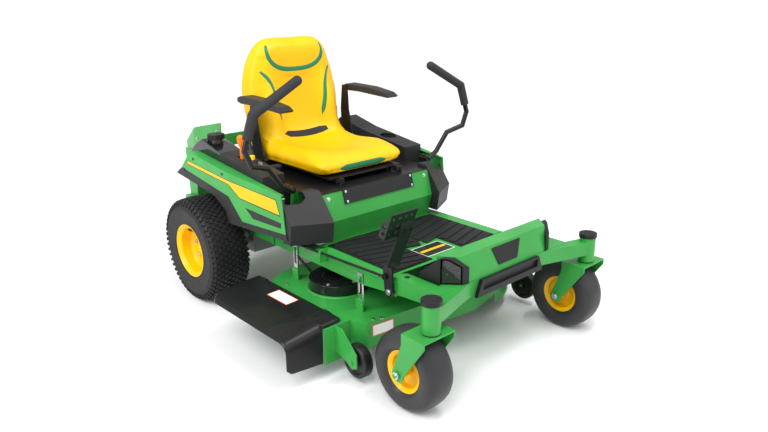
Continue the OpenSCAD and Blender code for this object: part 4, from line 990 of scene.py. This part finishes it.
# Each group's body, finish and bolts: a bolt has a place, a way, a head radius and a height
BOLTS = {
    "front_panel_bolts": ("chassis", zinc, [((s * 261, -603, 531), PANEL_WAY, 6, 5) for s in BOTH]),
    "name_plate_bolts": ("chassis", zinc, [((s * 176, y, z), PLATE_WAY, 3.5, 3)
                                           for y, z in ((-616.8, 508), (-604.6, 546)) for s in BOTH]),
    "rail_plugs": ("chassis", black_plastic, [((s * 325, y, z), UP, 7, 2.5) for s in BOTH
                                              for y, z in RAIL_SPOTS]),
    "deck_bolts": ("deck", zinc, [((x, y, 195), UP, 5, 5) for x, y in DECK_SPOTS]),
    "fender_screws": ("chassis", black_plastic, [(from_row(on_fender(s, y, z, 0)), (s, 0, 0), 4.5, 2.5)
                                                 for s in BOTH for y, z in FENDER_SPOTS]),
    "guard_bolts": ("chassis", zinc, [((s * 326, y, z), (s, 0, 0), 6, 5) for s in BOTH
                                      for y, z in GUARD_SPOTS]),
    "pedal_bolt": ("pedal", zinc, [((-371, -1067, 327), (-1, 0, 0), 8, 7)]),
    "spindle_caps": ("deck", zinc, [((x, y, 237), UP, 5, 3) for x, y in CAP_SPOTS]),
    "hub_cap_left": ("rear_wheel_left", zinc, [((494, 0, 228.6), (1, 0, 0), 14, 12)]),
    "hub_cap_right": ("rear_wheel_right", zinc, [((-494, 0, 228.6), (-1, 0, 0), 14, 12)]),
}
for name, (body, material, spots) in BOLTS.items():
    bolts = bmesh.new()
    for spot in spots:
        add_bolt(bolts, *spot)
    add_piece(name, bolts, body, material)
print("Bolts:", sum(len(spots) for *_, spots in BOLTS.values()))

# %% Caster axle ends and caps
CASTER_X, STEM_Y, AXLE_Y, AXLE_Z = 432, -1332, -1253, 142
NUT, AXLE_END = (6, 14.4, 70.8, 10.6), (32, 8.4, 80, 6.2)
CAP_Z = 411.5
CAP_RINGS = (
    [(30, CAP_Z), (29, CAP_Z + 1.5), (26, CAP_Z + 1.5), (25, CAP_Z)],
    [(19, CAP_Z), (18, CAP_Z + 1.7), (14, CAP_Z + 1.7), (13, CAP_Z)],
    [(7, CAP_Z), (6, CAP_Z + 1.9), (0.01, CAP_Z + 1.9), (0.01, CAP_Z)],
)
for name, side in SIDES:
    ends = bmesh.new()
    for way in BOTH:
        for segments, radius, start, depth in (NUT, AXLE_END):
            nut = bmesh.ops.create_cone(ends, cap_ends=True, segments=segments, radius1=radius / 1000,
                                        radius2=radius / 1000, depth=depth / 1000)["verts"]
            bmesh.ops.rotate(ends, verts=nut, matrix=Matrix.Rotation(way * math.radians(90), 3, "Y"))
            place = at(side * CASTER_X + way * (start + depth / 2), AXLE_Y, AXLE_Z)
            bmesh.ops.translate(ends, verts=nut, vec=place)
    end_piece = add_piece(f"caster_axle_ends_{name}", ends, f"caster_{name}", zinc)
    round_edges(end_piece, 0.0008)
    cap = bmesh.new()
    for profile in CAP_RINGS:
        spun_ring(cap, side * CASTER_X, STEM_Y, profile, 64, closed=True)
    bmesh.ops.remove_doubles(cap, verts=cap.verts, dist=1e-6)
    bmesh.ops.recalc_face_normals(cap, faces=cap.faces)
    add_piece(f"caster_cap_rings_{name}", cap, "chassis", black_plastic)
print("Caster ends and caps done")
